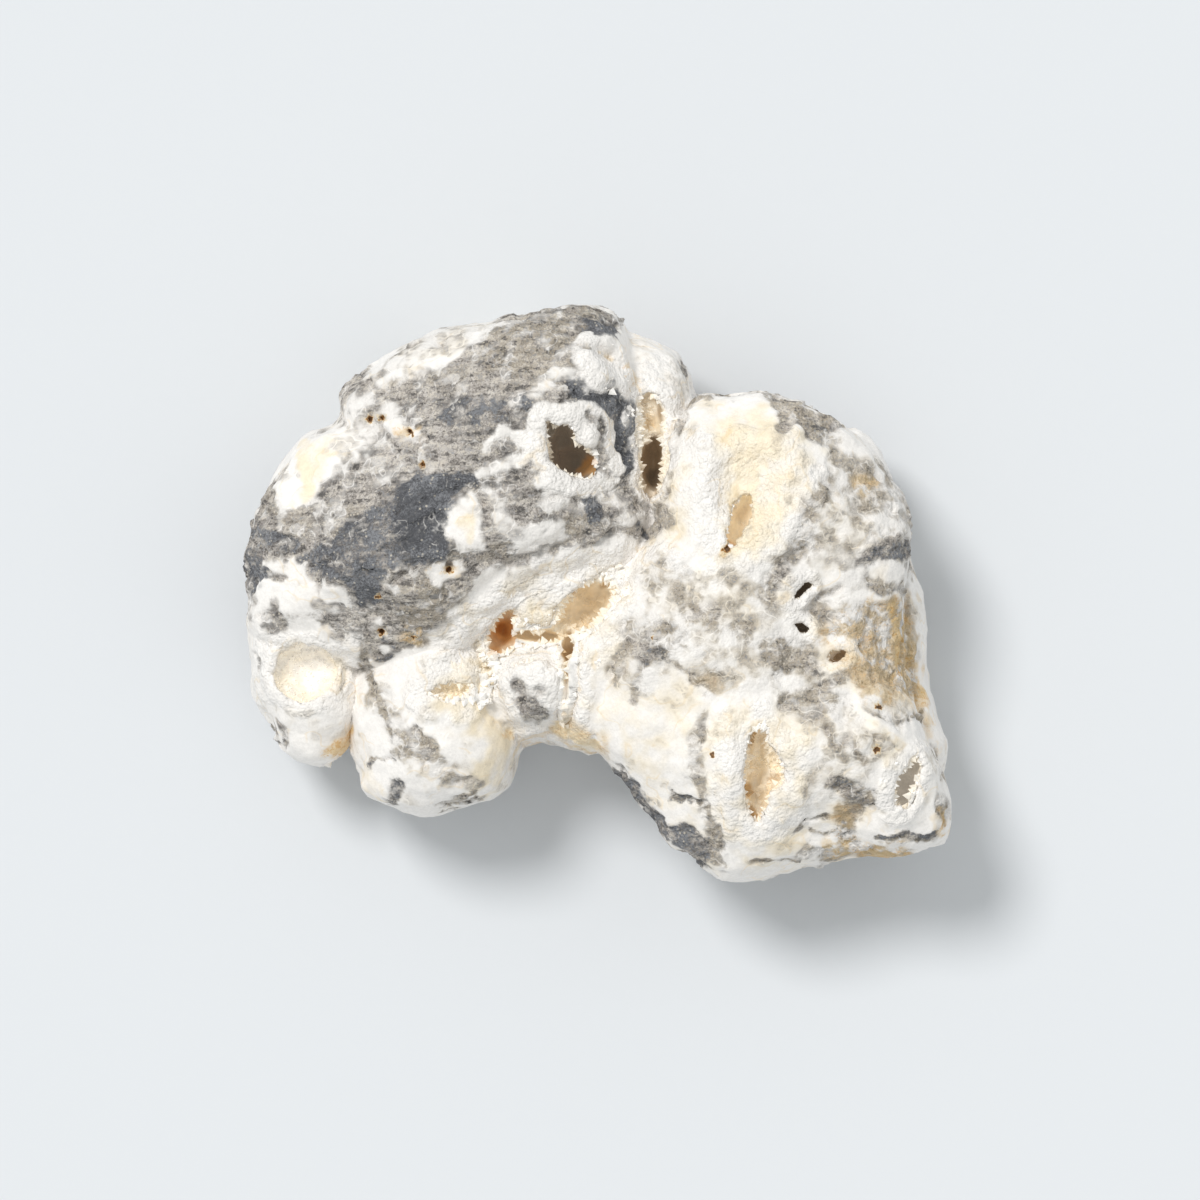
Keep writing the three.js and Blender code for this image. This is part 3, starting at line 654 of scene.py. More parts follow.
def pit_depth(points):
    """Depth of the bare pits, in millimetres."""
    at = to_pixels(points)
    depth = np.zeros(len(points))
    for pit in PITS:
        away = np.linalg.norm(at - np.array(pit.at), axis=1)
        depth = np.maximum(depth, pit.depth * (1.0 - smooth_step(away, 0.3 * pit.reach, 1.2 * pit.reach)))
    return depth


def rock_relief(points, fields):
    """Height of the rock's own relief along its normal, in metres."""
    sugar = fields["sugar"]
    edge = 0.3 * lumps(points, 2.2 * MM, 61) + 0.2 * lumps(points, 1.1 * MM, 67)
    matrix = smooth_step(fields["matrix"] + edge, 0.3, 0.7)
    # The matrix splinters along its bedding, which runs from the lower left to the upper right
    along = points @ BEDDING
    splinters = points + np.outer(along, BEDDING) * (SPLINTER_STRETCH - 1.0)
    rough = 0.85 * chips(splinters, 2.9 * MM, 73) + 0.4 * chips(splinters, 1.2 * MM, 79)
    rough += 0.12 * lumps(points, 0.9 * MM, 89)
    knobs = 0.6 - grains(points, 2.6 * MM, 97)
    soft = 0.25 + (0.25 + 0.25 * sugar) * knobs + 0.08 * lumps(points, 1.3 * MM, 103)
    crystals = 0.2 * (0.6 - grains(points, 0.95 * MM, 101)) + 0.18 * (0.6 - grains(points, 1.5 * MM, 109))
    height = matrix * rough + (1.0 - matrix) * (soft + sugar * (0.4 + crystals))
    return (height - pit_depth(points)) * MM


def make_rock(sizes, solids):
    """The whole specimen's weathered skin. It runs on under the crusts, a little below their own skins."""
    rock = merged_copy("rock", "weathered_rock")
    for node in HOLLOWS:
        weld_on(rock, node, solids["rock"])
    remeshed(rock, sizes.rock_skin)
    mesh = rock.data
    points = corners_of(mesh)
    facing = smoothed_normals(mesh, 12)
    from_crust = distance_to(solids["crusts"], points)
    lining = np.zeros(len(points))
    close = np.nonzero(from_crust < NEAR_CRUST)[0]
    lining[close] = shelter(points[close], facing[close], solids["all"])
    from_rock = np.zeros(len(points))
    from_rock[close] = distance_to(solids["rock"], points[close])
    lining = smooth_step(smoothed(mesh, lining, 3), *LINING_SHELTER)
    lining = lining * smooth_step(from_rock, *LINING_FROM_ROCK)
    uneven = from_crust + 0.7 * MM * lumps(points, 2.2 * MM, 107)
    lip = 1.0 - smooth_step(uneven, -0.2 * MM, 0.9 * MM)
    from_core, _ = distance_to_line(to_pixels(points), KNOB_CORE, False)
    fields = rock_fields(points, facing, lip * smooth_step(from_core, 8.0, 20.0))
    near = np.stack([smoothed(mesh, part, 6) for part in points.T], axis=1)
    standing = 1.0 - (1.0 - smooth_step(points[:, 2], 0.0, 2.5 * MM)) * smooth_step(-facing[:, 2], 0.5, 0.9)
    height = sizes.relief * (shared_relief(points) + rock_relief(points, fields))
    height = height * (1.0 - lining) - lining * LINING_DIP
    moved = points + 0.5 * (near - points) * standing[:, None] + facing * (height * standing)[:, None]
    move_corners(mesh, inside_the_box(moved))
    for name, values in fields.items():
        keep_field(mesh, name, values)
    thin_the_underside(rock, sizes.underside_share)
    mesh = rock.data
    move_corners(mesh, inside_the_box(corners_of(mesh)))
    mesh.materials.append(matrix_material(bpy.context.scene.specimen_finish))
    shade_smooth(mesh)
    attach(rock, "root")
    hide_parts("rock")


def weld_on(rock, node, rock_solid):
    """Joins a crust's solid to the rock's, once its back is moved across the narrow gap between them."""
    crust = merged_copy(node, "welded")
    for corner in crust.data.vertices:
        nearest, _, _, away = rock_solid.find_nearest(corner.co)
        if away < WELD_GAP:
            corner.co = corner.co + (nearest - corner.co) * WELD_SHARE
    work = bmesh.new()
    work.from_mesh(rock.data)
    work.from_mesh(crust.data)
    work.to_mesh(rock.data)
    work.free()
    bpy.data.objects.remove(crust)


def inside_the_box(points):
    """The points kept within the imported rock's box, so that the relief doesn't change the size."""
    return np.clip(points, np.array(ROCK_LOW), np.array(ROCK_HIGH))


def thin_the_underside(piece, share):
    """Leaves fewer faces where the surface faces down or outwards than where it faces up."""
    mesh = piece.data
    points = corners_of(mesh)
    facing = smoothed_normals(mesh, 3)
    outwards = 1.0 - smooth_step(facing[:, 2], -0.3, 0.1)
    plain = outwards * (1.0 - smooth_step(points[:, 2], *THINNED_BELOW))
    group = piece.vertex_groups.new(name="Plain")
    levels = 4
    for level in range(1, levels + 1):
        chosen = np.nonzero((plain > (level - 1) / levels) & (plain <= level / levels))[0]
        group.add([int(i) for i in chosen], level / levels, "REPLACE")
    thin = piece.modifiers.new("Thin underside", "DECIMATE")
    thin.ratio = share
    thin.vertex_group = group.name
    thin.vertex_group_factor = THINNING_STRENGTH
    apply_modifiers(piece)
    piece.vertex_groups.clear()
    ease_folds(piece.data)


def ease_folds(mesh):
    """Moves the corners of sharply folded faces towards their neighbours, over a set number of rounds."""
    work = bmesh.new()
    work.from_mesh(mesh)
    for _ in range(EASING_ROUNDS):
        sharp = [edge for edge in work.edges if edge.calc_face_angle(0.0) > SHARP_FOLD]
        folded = {corner for edge in sharp for corner in edge.verts}
        bmesh.ops.smooth_vert(
            work, verts=list(folded), factor=EASING, use_axis_x=True, use_axis_y=True, use_axis_z=True,
        )
        work.normal_update()
    work.to_mesh(mesh)
    work.free()


def shade_smooth(mesh):
    mesh.polygons.foreach_set("use_smooth", [True] * len(mesh.polygons))
    mesh.update()


# How each hollow is coloured: the colour that its depths turn to the more they are sheltered, partly their
# own stain and partly painted shade, and its stains, some of which are painted shade. A stain has a place,
# a reach in pixels, a colour and a strength. One out in the open also colours what isn't sheltered.
Stain = namedtuple("Stain", "at reach colour strength in_the_open", defaults=(False,))
WHITE = (0.95, 0.925, 0.89)
CREAM_WHITE = (0.96, 0.87, 0.71)
TAN = (0.80, 0.67, 0.48)
PALE_TAN = (0.90, 0.80, 0.62)
BROWN = (0.40, 0.29, 0.18)
DARK_TAN = (0.52, 0.34, 0.16)
DARK = (0.17, 0.13, 0.09)
ORANGE = (0.70, 0.39, 0.15)
RUST = (0.42, 0.18, 0.055)
GREY = (0.46, 0.43, 0.39)
GREY_BROWN = (0.34, 0.29, 0.23)
PALE_GREY = (0.72, 0.68, 0.62)
YELLOW = (0.95, 0.80, 0.50)

# How fine the crystals of some hollows are, as a share of the usual size
FINENESS = {
    "upper_slit_crust": 0.3,
    "lower_slit_crust": 0.3,
    "nook_crust": 0.3,
    "left_basin_crust": 0.35,
    "basin_crust": 0.6,
}

HOLLOWS = {
    "upper_vug_crust": (GREY_BROWN, [
        Stain((593, 466), 11, ORANGE, 1.0),
        Stain((583, 472), 7, ORANGE, 0.8),
        Stain((552, 472), 7, PALE_TAN, 0.7),
    ]),
    "upper_cleft_crust": (BROWN, [
        Stain((632, 372), 12, TAN, 0.9),
        Stain((612, 366), 8, PALE_TAN, 0.7),
        Stain((652, 424), 11, TAN, 0.9),
        # Painted shade at the cleft's narrow lower end
        Stain((654, 478), 10, DARK, 0.7),
    ]),
    "basin_crust": (PALE_TAN, [
        Stain((752, 470), 34, YELLOW, 0.75, True),
        # Painted shade in the crease and in the trough below the basin's left lip
        Stain((730, 436), 8, TAN, 0.55),
        Stain((742, 514), 10, TAN, 0.85),
        Stain((728, 548), 9, ORANGE, 1.0),
        Stain((722, 553), 4, RUST, 1.0),
    ]),
    "middle_cleft_crust": (TAN, [
        Stain((460, 668), 26, CREAM_WHITE, 0.6, True),
        Stain((504, 632), 15, ORANGE, 1.0),
        Stain((502, 630), 8, RUST, 1.0),
        Stain((496, 652), 9, ORANGE, 0.7),
        Stain((541, 612), 20, CREAM_WHITE, 0.7),
        # Painted shade in the crevice right of the knob
        Stain((568, 640), 11, TAN, 0.8),
        Stain((590, 605), 22, TAN, 0.7),
        Stain((606, 584), 6, DARK_TAN, 0.8),
        Stain((574, 590), 5, DARK_TAN, 0.6),
        # Painted shade in the crevice right of the knob
        Stain((568, 656), 12, DARK_TAN, 0.7),
        Stain((567, 696), 22, WHITE, 0.9),
        Stain((455, 690), 16, CREAM_WHITE, 0.9),
        Stain((528, 684), 8, GREY, 0.9, True),
        Stain((533, 700), 9, GREY, 0.9, True),
        Stain((544, 690), 5, GREY, 0.8, True),
        # Painted shade on the low body under the right lobe's edge
        Stain((575, 730), 26, TAN, 0.75, True),
    ]),
    "slot_crust": (TAN, [
        Stain((766, 760), 13, PALE_TAN, 0.7),
        # Painted shadows of the teeth along the slot's left edge
        Stain((745, 736), 10, DARK_TAN, 1.0),
        Stain((744, 788), 9, DARK_TAN, 1.0),
        Stain((747, 814), 10, DARK_TAN, 1.0),
        Stain((774, 778), 5, DARK_TAN, 0.6),
    ]),
    "corner_vug_crust": (PALE_GREY, [
        Stain((904, 785), 12, PALE_GREY, 0.6),
        Stain((912, 756), 7, PALE_TAN, 0.7),
    ]),
    "left_basin_crust": (CREAM_WHITE, [
        Stain((308, 668), 26, WHITE, 0.5, True),
        Stain((300, 662), 6, PALE_TAN, 0.5),
    ]),
    # Painted shade in the left hollow
    "left_hollow_crust": (TAN, [Stain((345, 736), 13, TAN, 0.8)]),
    "upper_slit_crust": (DARK, []),
    "lower_slit_crust": (DARK, []),
    "nook_crust": (BROWN, [Stain((836, 657), 8, BROWN, 0.7)]),
}


def search_tree(nodes):
    """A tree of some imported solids, to find the nearest place on them or to look along a line."""
    corners = []
    faces = []
    for node in nodes:
        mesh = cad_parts[node].data
        first = len(corners)
        corners.extend(v.co.copy() for v in mesh.vertices)
        faces.extend([first + i for i in face.vertices] for face in mesh.polygons)
    return BVHTree.FromPolygons(corners, faces)


def search_trees():
    return {
        "rock": search_tree(["rock"]),
        "crusts": search_tree(HOLLOWS),
        "all": search_tree(["rock", *HOLLOWS]),
    }


def shelter(points, facing, tree):
    """Share of the directions round each normal, from 0 to 1, in which another wall is near."""
    spokes = []
    for turn in range(6):
        angle = turn * math.pi / 3
        for lean in (0.45, 0.95):
            outwards = math.sin(lean)
            spokes.append((math.cos(angle) * outwards, math.sin(angle) * outwards, math.cos(lean)))
    share = np.zeros(len(points))
    for n, (point, normal) in enumerate(zip(points, facing)):
        out = Vector(normal)
        turn = out.to_track_quat("Z", "Y")
        start = Vector(point) + out * SHELTER_START
        hits = 0
        for spoke in spokes:
            hits += tree.ray_cast(start, turn @ Vector(spoke), SHELTER_REACH)[0] is not None
        share[n] = hits / len(spokes)
    return share


def distance_to(tree, points):
    return np.array([tree.find_nearest(Vector(point))[3] for point in points])


def make_crust(node, sizes, solids):
    """One hollow's crust: a lining with small crystals, which dips under the rock's skin at its lip."""
    deep_colour, stains_and_shade = HOLLOWS[node]
    crust = merged_copy(node, node.replace("_crust", "_druse"))
    remeshed(crust, sizes.crust_skin)
    mesh = crust.data
    points = corners_of(mesh)
    facing = smoothed_normals(mesh, 3)
    sheltered = smoothed(mesh, shelter(points, facing, solids["all"]), 6)
    backing = 1.0 - smooth_step(distance_to(solids["rock"], points), *BACKING_FROM_ROCK)
    inner = smooth_step(sheltered, *CRUST_SHELTER) * (1.0 - backing)
    sugar = 0.4 * (0.6 - grains(points, 1.0 * MM, 113)) + 0.5 * lumps(points, 2.4 * MM, 127)
    fineness = FINENESS.get(node, 1.0)
    deep = smooth_step(sheltered, 0.5, 0.85)
    crevice = closing(points, node)
    sugar = sugar * (1.0 - 0.7 * deep) + CREVICE_HEIGHT * crevice
    height = inner * (sugar + 0.05) * fineness * MM + (1.0 - inner) * (shared_relief(points) - CRUST_DIP)
    move_corners(mesh, inside_the_box(points + facing * height[:, None]))
    keep_tint(mesh, points, sheltered, deep_colour, stains_and_shade)
    keep_field(mesh, "toothed", inner * (1.0 - deep) * (1.0 - 0.85 * crevice))
    keep_field(mesh, "deep", inner * smooth_step(sheltered, 0.25, 0.8))
    shade_smooth(mesh)
    mesh.materials.append(druse_material(bpy.context.scene.specimen_finish))
    grow_crystals(crust, sizes, fineness)
    move_corners(crust.data, inside_the_box(corners_of(crust.data)))
    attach(crust, "root")
    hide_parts(node)


def closing(points, node):
    """1 in the long crevice of the middle cleft, whose walls are plainer and close up, and 0 elsewhere."""
    if node != "middle_cleft_crust":
        return np.zeros(len(points))
    away, _ = distance_to_line(to_pixels(points), CREVICE, False)
    return 1.0 - smooth_step(away, 8.0, 22.0)


def keep_tint(mesh, points, sheltered, deep_colour, stains_and_shade):
    """White at the lip, turning cream and then to the hollow's depth colour the more its walls shelter it,
    which is partly the stain of its depths and partly painted shade, and its stains, some of them painted
    shade.
    """
    at = to_pixels(points) + 3.0 * np.stack([lumps(points, 2 * MM, seed) for seed in (131, 137)], axis=1)
    # Painted shade: the colour turns cream and then to the depth colour the more the walls shelter a place
    depth = smooth_step(sheltered + 0.1 * lumps(points, 1.5 * MM, 139), 0.55, 0.9)[:, None]
    sheltered_cream_shade = 0.85 * smooth_step(sheltered, 0.15, 0.65)[:, None]
    tint = np.array(WHITE) * (1.0 - sheltered_cream_shade) + sheltered_cream_shade * np.array(CREAM_WHITE)
    tint = tint * (1.0 - depth) + depth * np.array(deep_colour)
    for stain in stains_and_shade:
        away = np.linalg.norm(at - np.array(stain.at), axis=1)
        inner = 1.0 if stain.in_the_open else smooth_step(sheltered, 0.34, 0.56)
        cover = stain.strength * inner * (1.0 - smooth_step(away, 0.5 * stain.reach, 1.15 * stain.reach))
        tint = tint * (1.0 - cover[:, None]) + cover[:, None] * np.array(stain.colour)
    attribute = mesh.attributes.new("tint", "FLOAT_COLOR", "POINT")
    opaque = np.ones((len(tint), 1))
    attribute.data.foreach_set("color", np.hstack([tint, opaque]).astype(np.float32).ravel())


def place_node(tree, kind, settings=None, inputs=None):
    """Adds a node, with its settings, and with values or links for its inputs by name or number."""
    made = tree.nodes.new(kind)
    for name, value in (settings or {}).items():
        setattr(made, name, value)
    for key, value in (inputs or {}).items():
        if isinstance(value, bpy.types.NodeSocket):
            tree.links.new(value, made.inputs[key])
        else:
            made.inputs[key].default_value = value
    return made


def crystal_tree():
    """Geometry nodes that grow small pointed crystals out of a crust where its toothed field says so."""
    tree = bpy.data.node_groups.get("Druse crystals")
    if tree:
        return tree
    tree = bpy.data.node_groups.new("Druse crystals", "GeometryNodeTree")
    for name, kind in (
        ("Geometry", "Geometry"),
        ("Crystal Width", "Float"),
        ("Crystal Length", "Float"),
        ("Crystals per Square Millimetre", "Float"),
        ("Seed", "Int"),
        ("Material", "Material"),
    ):
        tree.interface.new_socket(name, in_out="INPUT", socket_type="NodeSocket" + kind)
    tree.interface.new_socket("Geometry", in_out="OUTPUT", socket_type="NodeSocketGeometry")
    given = tree.nodes.new("NodeGroupInput")
    toothed = place_node(tree, "GeometryNodeInputNamedAttribute", {"data_type": "FLOAT"},
                         {"Name": "toothed"})
    per_metre = place_node(tree, "ShaderNodeMath", {"operation": "MULTIPLY"},
                           {0: given.outputs["Crystals per Square Millimetre"], 1: 1e6})
    density = place_node(tree, "ShaderNodeMath", {"operation": "MULTIPLY"},
                         {0: toothed.outputs["Attribute"], 1: per_metre.outputs[0]})
    spread = place_node(tree, "GeometryNodeDistributePointsOnFaces", None, {
        "Mesh": given.outputs["Geometry"],
        "Density": density.outputs[0],
        "Seed": given.outputs["Seed"],
    })
    lean = place_node(tree, "FunctionNodeRandomValue", {"data_type": "FLOAT_VECTOR"}, {
        "Min": (-CRYSTAL_LEAN, -CRYSTAL_LEAN, -CRYSTAL_LEAN),
        "Max": (CRYSTAL_LEAN, CRYSTAL_LEAN, CRYSTAL_LEAN),
        "Seed": given.outputs["Seed"],
    })
    leaning = place_node(tree, "ShaderNodeVectorMath", {"operation": "ADD"},
                         {0: spread.outputs["Normal"], 1: lean.outputs["Value"]})
    upright = place_node(tree, "FunctionNodeAlignRotationToVector", {"axis": "Z"},
                         {"Vector": leaning.outputs[0]})
    size = place_node(tree, "FunctionNodeRandomValue", {"data_type": "FLOAT"},
                      {2: CRYSTAL_SIZES[0], 3: CRYSTAL_SIZES[1]})
    point = place_node(tree, "GeometryNodeMeshCone", {"fill_type": "NGON"}, {
        "Vertices": CRYSTAL_SIDES,
        "Radius Top": 0.0,
        "Radius Bottom": given.outputs["Crystal Width"],
        "Depth": given.outputs["Crystal Length"],
    })
    copies = place_node(tree, "GeometryNodeInstanceOnPoints", None, {
        "Points": spread.outputs["Points"],
        "Instance": point.outputs["Mesh"],
        "Rotation": upright.outputs["Rotation"],
        "Scale": size.outputs[1],
    })
    real = place_node(tree, "GeometryNodeRealizeInstances", None, {"Geometry": copies.outputs["Instances"]})
    faceted = place_node(tree, "GeometryNodeSetShadeSmooth", None,
                         {"Geometry": real.outputs["Geometry"], "Shade Smooth": False})
    whole = tree.nodes.new("GeometryNodeJoinGeometry")
    tree.links.new(given.outputs["Geometry"], whole.inputs[0])
    tree.links.new(faceted.outputs["Geometry"], whole.inputs[0])
    coated = place_node(tree, "GeometryNodeSetMaterial", None,
                        {"Geometry": whole.outputs[0], "Material": given.outputs["Material"]})
    result = tree.nodes.new("NodeGroupOutput")
    tree.links.new(coated.outputs["Geometry"], result.inputs["Geometry"])
    return tree


def grow_crystals(piece, sizes, fineness):
    """Grows the crystals. Fineness is their size as a share of the usual one."""
    tree = crystal_tree()
    grow = piece.modifiers.new("Druse crystals", "NODES")
    grow.node_group = tree
    values = {
        "Crystal Width": fineness * sizes.crystal_width / 2,
        "Crystal Length": fineness * sizes.crystal_length,
        "Crystals per Square Millimetre": sizes.crystal_density,
        "Seed": sizes.seed,
        "Material": piece.data.materials[0],
    }
    for item in tree.interface.items_tree:
        if item.in_out == "INPUT" and item.name in values:
            grow[item.identifier] = values[item.name]
    apply_modifiers(piece)


def grain_group():
    """A shader group for fine grain: an uneven height, and a mask of scattered flecks."""
    tree = bpy.data.node_groups.get("Mineral grain")
    if tree:
        return tree
    tree = bpy.data.node_groups.new("Mineral grain", "ShaderNodeTree")
    face = tree.interface
    face.new_socket("Grain per Metre", in_out="INPUT", socket_type="NodeSocketFloat")
    face.new_socket("Height", in_out="OUTPUT", socket_type="NodeSocketFloat")
    face.new_socket("Flecks", in_out="OUTPUT", socket_type="NodeSocketFloat")
    given = tree.nodes.new("NodeGroupInput")
    where = tree.nodes.new("ShaderNodeTexCoord").outputs["Object"]
    broad = place_node(tree, "ShaderNodeTexNoise", None, {
        "Vector": where, "Scale": given.outputs["Grain per Metre"], "Detail": 1.0, "Roughness": 0.65,
    })
    cells = place_node(tree, "ShaderNodeTexVoronoi", {"feature": "F1"}, {
        "Vector": where, "Scale": given.outputs["Grain per Metre"],
    })
    height = place_node(tree, "ShaderNodeMath", {"operation": "SUBTRACT"},
                        {0: broad.outputs["Fac"], 1: cells.outputs["Distance"]})
    flecks = place_node(tree, "ShaderNodeMapRange", {"interpolation_type": "SMOOTHSTEP"}, {
        "Value": cells.outputs["Distance"], "From Min": 0.12, "From Max": 0.3, "To Min": 1.0, "To Max": 0.0,
    })
    result = tree.nodes.new("NodeGroupOutput")
    tree.links.new(height.outputs[0], result.inputs["Height"])
    tree.links.new(flecks.outputs["Result"], result.inputs["Flecks"])
    return tree


def grain(tree, wavelength):
    made = tree.nodes.new("ShaderNodeGroup")
    made.node_tree = grain_group()
    made.inputs["Grain per Metre"].default_value = 1.0 / wavelength
    return made


def field(tree, name):
    made = tree.nodes.new("ShaderNodeAttribute")
    made.attribute_name = name
    return made.outputs["Fac"]


def blend_colours(tree, share, first, second, kind="MIX"):
    made = tree.nodes.new("ShaderNodeMix")
    made.data_type = "RGBA"
    made.blend_type = kind
    sockets = {"Factor": share, 6: first, 7: second}
    for key, value in sockets.items():
        socket = made.inputs[0] if key == "Factor" else made.inputs[key]
        if isinstance(value, bpy.types.NodeSocket):
            tree.links.new(value, socket)
        elif key == "Factor":
            socket.default_value = value
        else:
            socket.default_value = (*value, 1.0)
    return made.outputs[2]


def maths(tree, operation, first, second=0.0):
    made = place_node(tree, "ShaderNodeMath", {"operation": operation}, {0: first, 1: second})
    return made.outputs[0]


def laid_over(tree, below, colour, share, amount):
    """A colour laid over another, by a share times an amount."""
    return blend_colours(tree, maths(tree, "MULTIPLY", share, amount), below, colour)


def ramp(tree, value, start, end, low=0.0, high=1.0):
    made = place_node(tree, "ShaderNodeMapRange", {"interpolation_type": "SMOOTHSTEP"}, {
        "Value": value, "From Min": start, "From Max": end, "To Min": low, "To Max": high,
    })
    return made.outputs["Result"]


def noise(tree, wavelength, detail=3.0, roughness=0.6, stretch=None):
    where = tree.nodes.new("ShaderNodeTexCoord").outputs["Object"]
    if stretch:
        turn, scale = stretch
        turned = place_node(tree, "ShaderNodeMapping", None, {
            "Vector": where, "Rotation": (0.0, 0.0, turn), "Scale": scale,
        })
        where = turned.outputs["Vector"]
    made = place_node(tree, "ShaderNodeTexNoise", None, {
        "Vector": where, "Scale": 1.0 / wavelength, "Detail": detail, "Roughness": roughness,
    })
    return made.outputs["Fac"]


def spread(tree, value):
    """Noise stretched to run from 0 to 1, because it mostly stays near the middle."""
    return ramp(tree, value, 0.34, 0.66)


def weighted(tree, *parts):
    """The sum of values, each times its weight."""
    total = None
    for value, weight in parts:
        part = maths(tree, "MULTIPLY", value, weight)
        total = part if total is None else maths(tree, "ADD", total, part)
    return total


def veins(tree, wavelength, reach):
    """1 along thin winding lines, and 0 away from them."""
    winding = noise(tree, wavelength, 2.0, 0.6)
    from_line = maths(tree, "ABSOLUTE", maths(tree, "SUBTRACT", winding, 0.5))
    return ramp(tree, from_line, reach, 0.0)


def pit_closeness(tree):
    """1 in the middle of a bare pit and 0 from twice its reach outwards, with an uneven edge."""
    where = tree.nodes.new("ShaderNodeTexCoord").outputs["Object"]
    uneven = place_node(tree, "ShaderNodeTexNoise", None,
                        {"Vector": where, "Scale": 1.0 / (0.7 * MM), "Detail": 1.0})
    shift = place_node(tree, "ShaderNodeVectorMath", {"operation": "MULTIPLY_ADD"}, {
        0: uneven.outputs["Color"], 1: (1.6 * MM, 1.6 * MM, 0.0), 2: (-0.8 * MM, -0.8 * MM, 0.0),
    })
    shifted = place_node(tree, "ShaderNodeVectorMath", {"operation": "ADD"},
                         {0: where, 1: shift.outputs[0]})
    flat = place_node(tree, "ShaderNodeVectorMath", {"operation": "MULTIPLY"},
                      {0: shifted.outputs[0], 1: (1.0, 1.0, 0.0)})
    closest = None
    for pit in PITS:
        away = place_node(tree, "ShaderNodeVectorMath", {"operation": "DISTANCE"},
                          {0: flat.outputs[0], 1: (*to_metres(pit.at), 0.0)}).outputs["Value"]
        closeness = ramp(tree, away, 2.0 * pit.reach * PIXEL, 0.0)
        closest = closeness if closest is None else maths(tree, "MAXIMUM", closest, closeness)
    upward = tree.nodes.new("ShaderNodeSeparateXYZ")
    tree.links.new(where, upward.inputs[0])
    on_top = ramp(tree, upward.outputs["Z"], 0.4 * ROCK_HIGH.z, 0.5 * ROCK_HIGH.z)
    return maths(tree, "MULTIPLY", closest, on_top)


def new_material(name):
    material = bpy.data.materials.new(name)
    material.use_nodes = True
    material.node_tree.nodes.clear()
    tree = material.node_tree
    surface = tree.nodes.new("ShaderNodeBsdfPrincipled")
    output = tree.nodes.new("ShaderNodeOutputMaterial")
    tree.links.new(surface.outputs["BSDF"], output.inputs["Surface"])
    return material, tree, surface


